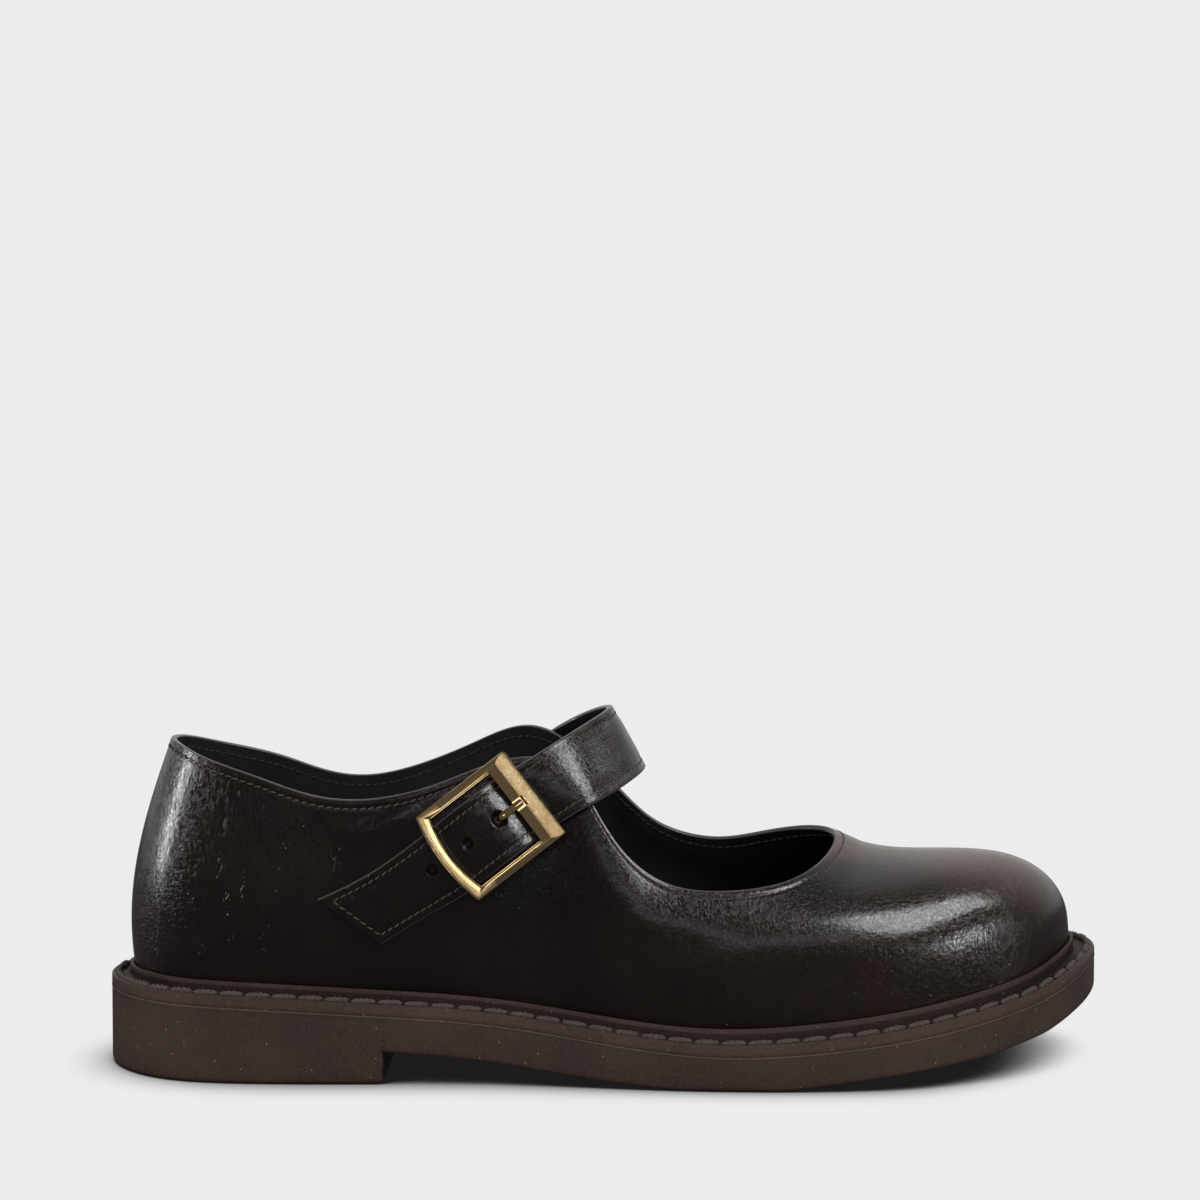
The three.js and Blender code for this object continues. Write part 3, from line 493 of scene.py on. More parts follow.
def painted_edge(name):
    material, where = new_material(name)
    cloud = noise(where, 120, 4)
    colour = tint(cloud, (0.024, 0.018, 0.017), (0.06, 0.05, 0.048))
    rough = spread(cloud, 0.3, 0.7, 0.24, 0.34)
    brushed_on = bump(noise(where, 500, 3), 0.04)
    return finish(material, colour, rough, brushed_on, Specular_IOR_Level=0.5)


def thread(name, dark, light, twist):
    """Twisted thread: fine slanted strands across each stitch, from the piece's own UV map."""
    material, where = new_material(name)
    tree = material.node_tree
    turned = stretch(add(tree, "TexCoord").outputs["UV"], (twist, twist, 1), (0, 0, 0.7))
    strands = add(tree, "TexWave", {"Vector": turned, "Scale": 1.0, "Distortion": 0.6}).outputs["Fac"]
    # Darker in the grooves between strands and lighter on their crests: painted shade and painted highlight,
    # mixed with random tone from the noise
    share = sums("MULTIPLY_ADD", strands, 0.6, times(noise(where, 300, 3), 0.4))
    colour = tint(share, dark, light)
    return finish(material, colour, 0.7, bump(strands, 0.12), Specular_IOR_Level=0.3, Sheen_Weight=0.2)


def gold(name, rough, brushed, deep, pale):
    """Pale gold plating; the brushed face has a sandy grain of fine scratches."""
    material, where = new_material(name)
    tone = noise(where, 260, 4)
    if brushed:
        scratch = noise(stretch(where, (1, 1, 0.5), (0.3, 0.6, 0)), 2600, 4)
        normal = bump(scratch, 0.12)
        tone = sums("MULTIPLY_ADD", tone, 0.5, times(scratch, 0.5))
    else:
        normal = bump(noise(where, 420, 2), 0.02)
    tone = spread(tone, 0.32, 0.68)
    colour = tint(tone, deep, pale)
    return finish(material, colour, spread(tone, 0.0, 1.0, rough + 0.1, rough), normal, Metallic=1.0)


# Crinkled spots, and burnished spots whose lighter brown is partly the leather's own burnish and partly
# painted sheen: middle, inner reach, outer reach
UPPER_CRINKLES = [
    ((-112, -22, 62), 16, 32), ((-96, -30, 48), 12, 28), ((-66, -33, 58), 4, 12), ((100, -34, 34), 6, 18),
]
UPPER_BURNISH_SHEEN = [((100, 6, 56), 8, 36), ((66, 0, 60), 4, 18)]
STRAP_CRINKLES = [((-55, -34, 45), 8, 22), ((-2, -24, 80), 6, 20)]

upper_leather = glossy_leather("upper_leather", UPPER_CRINKLES, UPPER_BURNISH_SHEEN)
strap_leather = glossy_leather("strap_leather", STRAP_CRINKLES)
edge_paint = painted_edge("edge_paint")
lining = soft_lining("lining")
sole_rubber = moulded_rubber("sole_rubber", (0.036, 0.0215, 0.017), (0.058, 0.035, 0.0275), 0.5)
# Lighter rubber for the sole's parting ridge: a painted highlight along the ridge
ridge_highlight_rubber = moulded_rubber("ridge_highlight_rubber", (0.07, 0.047, 0.04), (0.11, 0.076, 0.065), 0.45)
welt_rubber = moulded_rubber("welt_rubber", (0.044, 0.026, 0.021), (0.072, 0.044, 0.0355), 0.42)
# Darker copy of the welt rubber for the rand wall and stitch channel: painted shade in the channel
shaded_channel_rubber = moulded_rubber("shaded_channel_rubber", (0.021, 0.0135, 0.0118), (0.038, 0.0245, 0.021), 0.5)
thread_brown = thread("thread_brown", (0.04, 0.013, 0.0105), (0.165, 0.068, 0.053), 9)
thread_dark = thread("thread_dark", (0.006, 0.006, 0.006), (0.03, 0.028, 0.028), 9)
thread_welt = thread("thread_welt", (0.06, 0.034, 0.028), (0.25, 0.158, 0.134), 20)
gold_polished = gold("gold_polished", 0.1, False, (0.88, 0.58, 0.26), (0.98, 0.73, 0.4))
gold_brushed = gold("gold_brushed", 0.26, True, (0.93, 0.61, 0.28), (1.0, 0.78, 0.46))
# Near-black metal for the hidden pin bar and posts: painted shade where they show in the buckle's gap
shadowed_pin_metal = gold("shadowed_pin_metal", 0.4, False, (0.02, 0.016, 0.012), (0.035, 0.028, 0.02))

# Soft creases of the upper's outer side: x, z at both ends, width, depth. Below 0 it is a ridge.
CREASES = [
    (-12.7, 39.3, 14, 42.1, 1.2, 0.12),
    (12.4, 33.2, 26.2, 38.8, 1.2, 0.1),
    (-72.7, 60.9, -61, 55.2, 0.8, 0.2),
    (-71, 63.4, -60, 58.2, 0.8, 0.16),
    (-69, 57.4, -62, 53.4, 0.7, 0.14),
    (-16, 44.5, 14, 52, 5.0, -0.45),
    (-2, 39.5, 34, 47.5, 4.2, -0.4),
    (12, 34, 46, 40.5, 3.6, 0.25),
    (-69, 60.5, -45, 72, 3.2, -0.8),
    (-66, 64.5, -44, 76.5, 2.6, 0.4),
]


def creasing(points):
    """How far the creases draw the outer side in."""
    x, y, z = np.moveaxis(points, -1, 0)
    drawn = np.zeros_like(x)
    for x0, z0, x1, z1, width, depth in CREASES:
        length = math.hypot(x1 - x0, z1 - z0)
        along = ((x - x0) * (x1 - x0) + (z - z0) * (z1 - z0)) / length
        across = ((z - z0) * (x1 - x0) - (x - x0) * (z1 - z0)) / length
        taper = smooth(along / (0.35 * length)) * smooth((length - along) / (0.35 * length))
        drawn += depth * taper * bell(across, 0, width) * smooth(-y / 10)
    return drawn


# How much fuller the toe is and how much flatter the vamp before it: x, reach, height
TOE_FULLNESS = [(114, 17, 1.5), (78, 13, -0.9)]


def fullness(points, normals):
    """How far the toe's upper side stands out beyond the plain wall."""
    x = points[..., 0]
    up = smooth(normals[..., 2] * 1.6)
    side = smooth((points[..., 2] - welt_top(x) - 5) / 12)
    out = np.zeros_like(x)
    for middle, reach, height in TOE_FULLNESS:
        ahead = smooth((x - middle + 9) / 18) * (height > 0)
        out += height * bell(x, middle, reach) * (up + (1 - up) * side * ahead)
    return out


def make_upper():
    """Upper: outer face with its creases, rolled edge, lining and turned-in margin."""
    places = even_stations(400)
    at = places[:, None]
    ups = join([np.linspace(0, 0.8, 64)[:-1], np.linspace(0.8, 1, 34)])[None, :]
    face, normal = wall(at, ups), wall_normal(at, ups)
    steps = np.linalg.norm(np.diff(face, axis=1), axis=2)
    down = join([np.cumsum(steps[:, ::-1], axis=1)[:, ::-1], np.zeros((len(at), 1))], 1)
    puff = 0.1 * bell(down, 1.0, 0.6) - SEAM_DEPTH * bell(down, TOPLINE_STITCH, 0.4)
    fuller = fullness(face, normal) * smooth((down - 3) / 6)
    outer = face + normal * (puff - creasing(face) + fuller)[..., None]

    rim_rows, boxy = 12, 0.6
    rising = unit(face[:, -1:] - face[:, -2:-1])
    turn = angles(12, 168, rim_rows)[None, :, None]
    across = np.sign(np.cos(turn)) * np.abs(np.cos(turn)) ** boxy
    centre = face[:, -1:] - normal[:, -1:] * TOP_EDGE / 2
    rim = centre + TOP_EDGE / 2 * (across * normal[:, -1:] + 0.6 * np.sin(turn) ** boxy * rising)

    margin_top = in_from(places, WELT_WIDTH, seat)[:, 2] + CLEARANCE + LEATHER
    lean = np.radians(form(places)[:, 1])
    lowest = up_at_height(places, margin_top - LEATHER * np.sin(lean))
    down_ups = 1 - (1 - lowest)[:, None] * np.linspace(0, 1, 40)[None, :] ** 0.8
    thick = TOP_EDGE + (LEATHER - TOP_EDGE) * smooth((1 - down_ups) / 0.12)
    inner = wall(at, down_ups) - wall_normal(at, down_ups) * thick[..., None]
    margin = [in_from(places, WELT_WIDTH + LASTING_MARGIN, lambda x: seat(x) + CLEARANCE + above)[:, None]
              for above in (LEATHER, 0)]
    edge = ups.shape[1]
    bm = wrapped(join([outer, rim, inner, *margin, outer[:, :1]], 1),
                 ((0, 0), (edge - 1, 1), (edge + rim_rows - 1, 2)))
    tree = BVHTree.FromBMesh(bm)
    new_piece("upper_shell", bm, upper_leather, edge_paint, lining, slot="upper_leather", replaces=["upper"])
    return tree


RUNG_STEPS = 400


def rung_table():
    """Places on the outer side matched with places on the inner side, from heel to toe."""
    sides = []
    for heel, fine in ((0, np.linspace(0.5, 7.5, 2001)), (ROUND, np.linspace(15.5, 8.6, 2001))):
        breast = np.interp(HEEL_BREAST_X, outline(fine)[:, 0], fine)
        front = even_stations(RUNG_STEPS + 1, breast, TOE)
        sides.append(join([even_stations(RUNG_STEPS + 1, heel, breast), front[1:]]))
    return sides


RUNG_SIDES = rung_table()


def rungs(heel_count, front_count):
    """Matching places of both sides, so many steps in the heel and so many in front of it."""
    front = np.linspace(RUNG_STEPS, 2 * RUNG_STEPS, front_count)
    pick = join([np.linspace(0, RUNG_STEPS, heel_count), front[1:]])
    return [np.interp(pick, np.arange(len(side)), side) for side in RUNG_SIDES]


def slab(outer, inner, profile, across):
    """Sections of a slab: from the middle of the top, down the edge, to the middle of the bottom.

    The profile gives the edge as (distance in, height); its ends go on as the two faces.
    """
    around = join([outer, inner[::-1][1:]])
    other = join([inner, outer[::-1][1:]])
    halves = []

    def row(at, inset, height):
        return in_from(at, inset(outline(at)[:, 0]) if callable(inset) else inset, height)

    for (inset, height), way in ((profile[0], -1), (profile[-1], 1)):
        near, far = row(around, inset, height), row(other, inset, height)
        rows = [near + (far - near) * share for share in np.linspace(0, 0.5, across)]
        for line in rows:
            line[:, 2] = height(line[:, 0])
        halves.append(rows[::way])
    edge = [row(around, inset, height) for inset, height in profile[1:-1]]
    return np.stack(halves[0] + edge + halves[1], 1)


def tread_edge(x):
    """Rounding of the sole's lower edge, larger round the toe."""
    return TREAD_EDGE + 1.5 * smooth((x - 92) / 35)


def make_outsole():
    """Sole and heel: parting ridge under the welt, rounded tread edge, shallow ribs underneath."""
    heel_count, front_count, under_rows = 70, 130, 22
    rib_pitch, rib_depth, corner = 4.2, 0.45, 0.7
    outer, inner = (join([side[:heel_count], side[heel_count - 1:]])
                    for side in rungs(heel_count, front_count))

    def heel_ground(x):
        t = np.clip((x - HEEL_BREAST_X + corner) / corner, 0, 1)
        return corner * (1 - np.sqrt(1 - t * t))

    def profile(under):
        ridge = [(0.6, 0.0), (0.02, 0.0), (-0.06, -0.06), (-0.1, -0.16), (-0.07, -0.26), (0.04, -0.36)]
        edge = [(inset, lambda x, drop=drop: seat(x) + drop) for inset, drop in ridge]
        for share in np.linspace(0.08, 0.92, 6):
            edge.append((0, lambda x, share=share: (
                (seat(x) - 0.4) * (1 - share) + (under(x) + tread_edge(x)) * share)))
        for turn in angles(0, 90, 7):
            edge.append((lambda x, turn=turn: tread_edge(x) * (1 - math.cos(turn)),
                         lambda x, turn=turn: under(x) + tread_edge(x) * (1 - math.sin(turn))))
        return edge

    heel, front = (slab(outer, inner, profile(ground), under_rows + 2) for ground in (heel_ground, tread))
    in_heel = np.arange(len(outer)) < heel_count
    sections = np.where(join([in_heel, in_heel[::-1][1:]])[:, None, None], heel, front)
    sections = join([sections, sections[:1]])
    under = sections[:, -under_rows:]
    x = under[..., 0]
    rib = smooth(np.abs((x + 400) % rib_pitch - rib_pitch / 2) / 0.9 - 0.25)
    shank = smooth((x + 54) / 4) * smooth((8 - x) / 6)
    off_breast = smooth((np.abs(x - HEEL_BREAST_X) - 2) / 2)
    inward = smooth(np.arange(under_rows) / 3)[None, :]
    under[..., 2] += rib_depth * (1 - rib) * (1 - shank) * off_breast * inward
    ridge = under_rows + 2
    # The parting ridge takes the lighter rubber as a painted highlight
    new_piece("sole_unit", wrapped(sections, ((0, 0), (ridge, 1), (ridge + 4, 0))), sole_rubber,
              ridge_highlight_rubber, slot="sole_rubber", replaces=["outsole"])


def make_welt():
    """Welt: flat rim with its stitch channel and the rand that rises round the upper."""
    rand_thick, brow = 1.0, 0.22
    at = even_stations(520)
    rise = RAND_RISE + 1.0 * np.sin(math.pi * at / ROUND) ** 8
    foot = wall_inset(at, in_from(at, WELT_WIDTH, seat)[:, 2] + CLEARANCE) - CLEARANCE
    head = wall_inset(at, in_from(at, WELT_WIDTH, welt_top)[:, 2] + rise) - 0.12
    lip = 0.5 + 1.1 * smooth((outline(at)[:, 0] - 112) / 22)
    face = head - rand_thick

    def row(inset, height, base=welt_top):
        spot = in_from(at, inset, base)
        spot[:, 2] += height
        return spot

    rows = [row(0, 0, seat), row(foot, 0, seat), row(head, rise - 0.4), row(head - 0.1, rise - 0.12),
            row(head - 0.25, rise), row(face + brow, rise - 0.02)]
    rows += [row(face + brow * (1 - math.sin(turn)), rise - 0.02 - brow * (1 - math.cos(turn)))
             for turn in angles(20, 90, 4)]
    channel_from = len(rows)
    rows += [row(*place) for place in (
        (face, rise * 0.6), (face, 0.35), (face - 0.12, -0.15), (face - 0.4, -0.45), (3.9, -0.5),
        (3.3, -0.55), (2.7, -0.6), (WELT_STITCH, -0.6), (1.5, -0.5), (1.2, -0.25))]
    channel_to = len(rows)
    rows.append(row(lip + 0.5, 0))
    rows += [row(lip * (1 - math.cos(turn)), -lip * (1 - math.sin(turn))) for turn in angles(90, 0, 6)]
    rows += [row(0, 1.2, seat), row(0, 0, seat)]
    # The rand wall and the stitch channel take the darker rubber as painted shade
    new_piece("welt_rim", wrapped(np.stack(rows, 1), ((0, 0), (channel_from, 1), (channel_to, 0))),
              welt_rubber, shaded_channel_rubber, slot="welt_rubber", replaces=["welt"])


def make_insole():
    """Sock: soft slab that lies on the turned-in margin."""
    inset = WELT_WIDTH + LEATHER + 2 * CLEARANCE

    def bottom(x):
        return seat(x) + LEATHER + 1.05

    def top(x):
        return bottom(x) + INSOLE_THICK

    profile = [(inset + 1.0, top), (inset + 0.4, lambda x: top(x) - 0.12), (inset, lambda x: top(x) - 0.8),
               (inset, bottom)]
    sections = slab(*rungs(50, 90), profile, 16)
    new_piece("sock", wrapped(join([sections, sections[:1]])), lining, slot="lining", replaces=["insole"])


def buckle_frame():
    """Buckle's own axes: along the strap to the toe, to the rear rail, outward."""
    across = (BUCKLE_ACROSS - BUCKLE_ALONG * BUCKLE_ALONG.dot(BUCKLE_ACROSS)).normalized()
    proud = -BUCKLE_ALONG.cross(across)
    turn = Matrix((BUCKLE_ALONG, -across, proud)).transposed().to_4x4()
    return Matrix.Translation(BUCKLE_AT) @ turn


BUCKLE = buckle_frame()
STRAP_ROWS, STRAP_COLUMNS = 420, 33


def strap_edges():
    half = STRAP_WIDTH / 2
    pairs = list(STRAP_TAIL)
    for along, underside in UNDER_BUCKLE:
        spots = [Vector((along, side * half - STRAP_SHIFT, underside)) for side in (1, -1)]
        pairs.append([tuple(BUCKLE @ spot) for spot in spots])
    return np.array(pairs + STRAP_INSTEP)


def strap_surface(upper_tree):
    """The strap's underside clear of the upper, with its outward normals and its length."""
    clear, over_instep, far_side = 0.45, 15, 90
    pairs = strap_edges()
    steps = np.linalg.norm(np.diff(pairs.mean(1), axis=0), axis=1)
    knots = join([[0], np.cumsum(steps ** 0.75)])
    edges = curve([(knot, *pair.ravel()) for knot, pair in zip(knots, pairs)])
    fine = np.linspace(0, knots[-1], 2001)
    run = lengths(edges(fine)[:, :3] + edges(fine)[:, 3:]) / 2
    line = edges(np.interp(np.linspace(0, run[-1], STRAP_ROWS), run, fine))
    share = np.linspace(0, 1, STRAP_COLUMNS)[None, :, None]
    under = line[:, None, :3] * (1 - share) + line[:, None, 3:] * share
    push = np.zeros(under.shape[:2])
    for i, k in np.ndindex(push.shape):
        x, y, z = under[i, k]
        if abs(y) < over_instep:
            continue
        side = math.copysign(1, y)
        start = Vector(to_frame((x, side * far_side, z)))
        hit = upper_tree.ray_cast(start, Vector((0, -side, 0)))[0]
        if hit is not None:
            push[i, k] = max(0, side * (hit.y / MM - SHIFT[1] - y) + clear)
    for _ in range(6):
        wide = np.pad(push, 1, mode="edge")
        near = (wide[:-2, 1:-1] + wide[2:, 1:-1] + wide[1:-1, :-2] + wide[1:-1, 2:]) / 4
        push = np.maximum(push, near)
    under[..., 1] += np.sign(under[..., 1]) * push
    normal = unit(np.cross(np.gradient(under, axis=1), np.gradient(under, axis=0)))
    return under, normal, run[-1]


# Holes of the strap: x, y, z, radius
HOLES = [(-43.1, -32, 55.6, 1.3)]
HOLES += [(*(BUCKLE @ Vector((along, 0, 0))), radius) for along, radius in ((2.65, 1.8), (-7.7, 1.3))]


def make_strap(upper_tree):
    """Strap: rounded edges, sunk stitch lines, punched holes with soft rims."""
    under, normal, length = strap_surface(upper_tree)
    columns, arc_rows, half = STRAP_COLUMNS, 7, STRAP_THICK / 2
    pit_depth, rim_height, edge_out, end_out = 1.55, 0.16, 0.45, 0.5
    from_edge = STRAP_WIDTH / 2 - np.abs(np.linspace(-STRAP_WIDTH / 2, STRAP_WIDTH / 2, columns))[None, :]
    puff = 0.2 * smooth((from_edge - 2.2) / 3) - SEAM_DEPTH * bell(from_edge, STRAP_STITCH, 0.42)
    puff += 0.08 * bell(from_edge, 0.9, 0.5)
    top = under + normal * (STRAP_THICK + puff)[..., None]
    for x, y, z, radius in HOLES:
        away = np.array((x, y, z)) - top
        height = np.sum(away * normal, -1)
        flat = np.linalg.norm(away - height[..., None] * normal, axis=-1)
        pit = pit_depth * (1 - smooth((flat - radius + 0.25) / 0.5))
        rim = rim_height * bell(flat, radius + 0.55, 0.4)
        top = top + normal * np.where(np.abs(height) < 9, rim - pit, 0)[..., None]

    arcs = []
    turn = angles(-75, 75, arc_rows)[None, :, None]
    for column, side in ((columns - 1, 1), (0, -1)):
        line, up = under[:, [column]], normal[:, [column]]
        out = unit(line - under[:, [column - side]])
        arcs.append(line + up * half * (1 + np.sin(side * turn)) + out * edge_out * np.cos(turn))
    sections = join([under, arcs[0], top[:, ::-1], arcs[1], under[:, :1]], 1)

    order = np.arange(columns)
    core = join([order, np.full(arc_rows, columns - 1), order[::-1], np.zeros(arc_rows + 1, int)])
    ends = []
    for row, step in ((0, -1), (STRAP_ROWS - 1, 1)):
        tangent = unit((under[row] - under[row - step])[columns // 2])
        up = normal[row, core]
        heart = under[row, core] + up * half
        away = sections[row] - heart
        flat = away - np.sum(away * up, -1, keepdims=True) * up
        ends.append([heart + away * math.sin(turn) + flat * (1 - math.sin(turn))
                     + tangent * end_out * math.cos(turn) for turn in np.radians((70, 50, 30, 12, 0))])
    sections = join([ends[0][::-1], sections, ends[1]])
    top_from = columns + arc_rows - 1
    bands = ((0, 2), (columns - 1, 1), (top_from, 0), (top_from + columns, 1))
    new_piece("strap_band", wrapped(sections, bands, 0.00002), strap_leather, edge_paint, lining,
              slot="strap_leather", replaces=["strap"])
    return top, normal, length


def stitch_shape(length, width, height):
    """One stitch: a low rounded bar along X, lying on Z 0."""
    bm = bmesh.new()
    bm.loops.layers.uv.new("UVMap")
    bmesh.ops.create_uvsphere(bm, u_segments=8, v_segments=6, radius=0.5, calc_uvs=True)
    bmesh.ops.rotate(bm, verts=bm.verts, matrix=Matrix.Rotation(math.pi / 2, 3, "Y"))
    for vert in bm.verts:
        vert.co.x = math.copysign(1, vert.co.x) * (2 * abs(vert.co.x)) ** 0.6 / 2
    bmesh.ops.scale(bm, verts=bm.verts, vec=(length * MM, width * MM, height * MM))
    return to_mesh("stitch", bm)


def sew(name, stitch, seats, material, slot, slant):
    """Joins copies of a stitch, one at each seat of point, direction and normal."""
    bm = bmesh.new()
    for point, direction, normal in seats:
        start = len(bm.verts)
        bm.from_mesh(stitch)
        bm.verts.ensure_lookup_table()
        x = Vector(direction).normalized()
        z = Vector(normal)
        z = (z - x * x.dot(z)).normalized()
        basis = Matrix((x, z.cross(x), z)).transposed().to_4x4() @ Matrix.Rotation(slant, 4, "Z")
        place = Matrix.Translation(Vector(to_frame(point))) @ basis
        bmesh.ops.transform(bm, matrix=place, verts=bm.verts[start:])
    new_piece(name, bm, material, slot=slot)


def along_line(points, pitch, normals):
    """Seats at an even pitch along a line of points."""
    run = lengths(points)
    count = max(2, int(run[-1] / pitch))
    at = (np.arange(count) + 0.5) * run[-1] / count

    def read(table, place):
        return np.stack([np.interp(place, run, column) for column in table.T], 1)

    ahead = read(points, at + 0.1) - read(points, at - 0.1)
    return list(zip(read(points, at), ahead, unit(read(normals, at))))


def sew_topline():
    """One row outside and one in the lining."""
    at = even_stations(1200)
    small = stitch_shape(*TOPLINE_THREAD)
    for name, below, depth, side, material, slant in (
            ("topline_stitches", TOPLINE_STITCH, 0.02, 1, thread_brown, 0.2),
            ("lining_stitches", LINING_STITCH, 1.66, -1, thread_dark, 0.16)):
        up = below_edge(at, below)
        face, normal = wall(at, up), wall_normal(at, up)
        seats = along_line(face - normal * depth, TOPLINE_PITCH, side * normal)
        sew(name, small, seats, material, "strap_leather", slant)


def corded_stitch(length, width, height, strands=3, turns=1.6):
    """One thick stitch of twisted strands that taper to both ends."""
    bm = bmesh.new()
    bm.loops.layers.uv.new("UVMap")
    apart, strand_thick = 0.5, 0.58
    along = np.linspace(-1, 1, 17)[:, None]
    around = np.linspace(0, 2 * math.pi, 9)[None, :]
    taper = np.sqrt(np.clip(1 - np.abs(along) ** 2.6, 0, 1)) / (apart + strand_thick)
    for strand in range(strands):
        twist = along * turns * math.pi + strand * 2 * math.pi / strands
        side = taper * (apart * np.cos(twist) + strand_thick * np.cos(around))
        out = taper * (apart * np.sin(twist) + strand_thick * np.sin(around))
        places = np.stack([along * length / 2 + 0 * side, side * width / 2, out * height / 2], -1)
        tube = wrapped(places, merge=FINE_MERGE, seated=lambda spots: spots * MM)
        bm.from_mesh(to_mesh("strand", tube))
    return to_mesh("corded_stitch", bm)


def sew_welt():
    at = even_stations(1600)
    spot = in_from(at, WELT_STITCH - 0.15, welt_top)
    spot[:, 2] += 0.05
    normal = join([outward(at) * 0.25, np.ones((len(at), 1))], 1)
    thick = corded_stitch(*WELT_THREAD)
    sew("welt_stitches", thick, along_line(spot, WELT_PITCH, normal), thread_welt, "welt_rubber", 0.07)


def sew_strap(top, normal, length):
    """Rows along both edges of the strap and across its ends."""
    small = stitch_shape(*STRAP_THREAD)
    inset = STRAP_STITCH / STRAP_WIDTH * (STRAP_COLUMNS - 1)
    low = int(inset)
    part = inset - low
    start = int(2.2 / length * STRAP_ROWS)
    seats = []
    for a, b in ((low, low + 1), (STRAP_COLUMNS - 1 - low, STRAP_COLUMNS - 2 - low)):
        points = top[start:, a] * (1 - part) + top[start:, b] * part
        faces = normal[start:, a]
        seats += along_line(points + faces * 0.02, STRAP_PITCH, faces)
    between = slice(low, STRAP_COLUMNS - low)
    for row in (start, -start, -start - 30):
        seats += along_line(top[row, between], STRAP_PITCH, normal[row, between])
    sew("strap_stitches", small, seats, thread_brown, "strap_leather", 0.18)


def make_keeper():
    """The leather loop behind the buckle: its hard node with flat facets joined and soft edges."""
    bm = bmesh.new()
    bm.from_mesh(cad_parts["buckle_loop"].data)
    bmesh.ops.remove_doubles(bm, verts=bm.verts, dist=0.000005)
    bmesh.ops.dissolve_limit(bm, angle_limit=math.radians(0.6), verts=bm.verts, edges=bm.edges)
    sharp = [edge for edge in bm.edges if len(edge.link_faces) == 2
             and edge.calc_face_angle(0) > math.radians(25)]
    bmesh.ops.bevel(bm, geom=sharp, offset=0.1 * MM, segments=2, affect="EDGES", profile=0.5,
                    material=-1, offset_type="OFFSET", clamp_overlap=True)
    new_piece("buckle_keeper", bm, strap_leather, slot="strap_leather", replaces=["buckle_loop"])


# Buckle's bars: distance in from the outer edge, height. All three have as many points.
CATCH_FACE = [
    (0, -1.9), (0, -0.4), (0.06, -0.16), (0.24, -0.03), (0.5, 0.03), (1.3, 0.06), (2.3, 0.06), (3.3, 0.04),
    (3.9, -0.02), (4.2, -0.12), (4.4, -0.26), (5.4, -0.62), (6.2, -0.88), (6.38, -1.0), (6.4, -1.9),
]
REAR_FACE = [
    (0, -1.9), (0, -0.4), (0.06, -0.14), (0.2, -0.02), (0.36, 0.02), (0.52, -0.05), (0.75, -0.13),
    (1.2, -0.16), (1.6, -0.18), (2.0, -0.2), (2.35, -0.22), (2.6, -0.24), (2.78, -0.32), (2.88, -0.5),
    (2.9, -1.9),
]
RAIL_FACE = [
    (0, -1.9), (0, -0.4), (0.05, -0.16), (0.16, -0.03), (0.3, 0.02), (0.42, -0.05), (0.62, -0.2),
    (1.1, -0.32), (1.5, -0.42), (1.9, -0.52), (2.12, -0.5), (2.3, -0.42), (2.48, -0.45), (2.58, -0.58),
    (2.6, -1.9),
]
BUCKLE_LENGTH, BUCKLE_WIDTH, REAR_BOW, CORNER = 28.5, 26.6, 1.7, 0.95
NOTCH_HALF, NOTCH_FROM, NOTCH_FLOOR = 1.4, 3.6, -1.3

# Hidden bar of the prong with its posts: x0, x1, y0, y1, z0, z1
PIN_HALF = BUCKLE_WIDTH / 2 - 0.6
PIN_BLOCKS = [
    (-1.5, -0.5, -PIN_HALF, PIN_HALF, -4.6, -3.6), (-1.5, -0.5, PIN_HALF - 2, PIN_HALF, -4.6, -0.9),
    (-1.5, -0.5, -PIN_HALF, 2 - PIN_HALF, -4.6, -0.9),
]

# Middle line of the prong: along the strap, height
PRONG_PATH = [
    (-0.7, -5.1), (-1.6, -5.1), (-2.2, -4.8), (-2.3, -3.9), (-2.0, -3.1), (-1.2, -2.85), (0.8, -2.85),
    (2.0, -2.7), (2.7, -1.8), (3.2, -0.6), (3.7, 0.12), (4.6, 0.22), (6, -0.02), (8, -0.36), (9.7, -0.5),
    (10.15, -0.55),
]


def on_buckle(places):
    flat = np.asarray(places, float)
    turn = np.array(BUCKLE.to_3x3())
    return to_frame(flat @ turn.T + np.array(BUCKLE.translation))


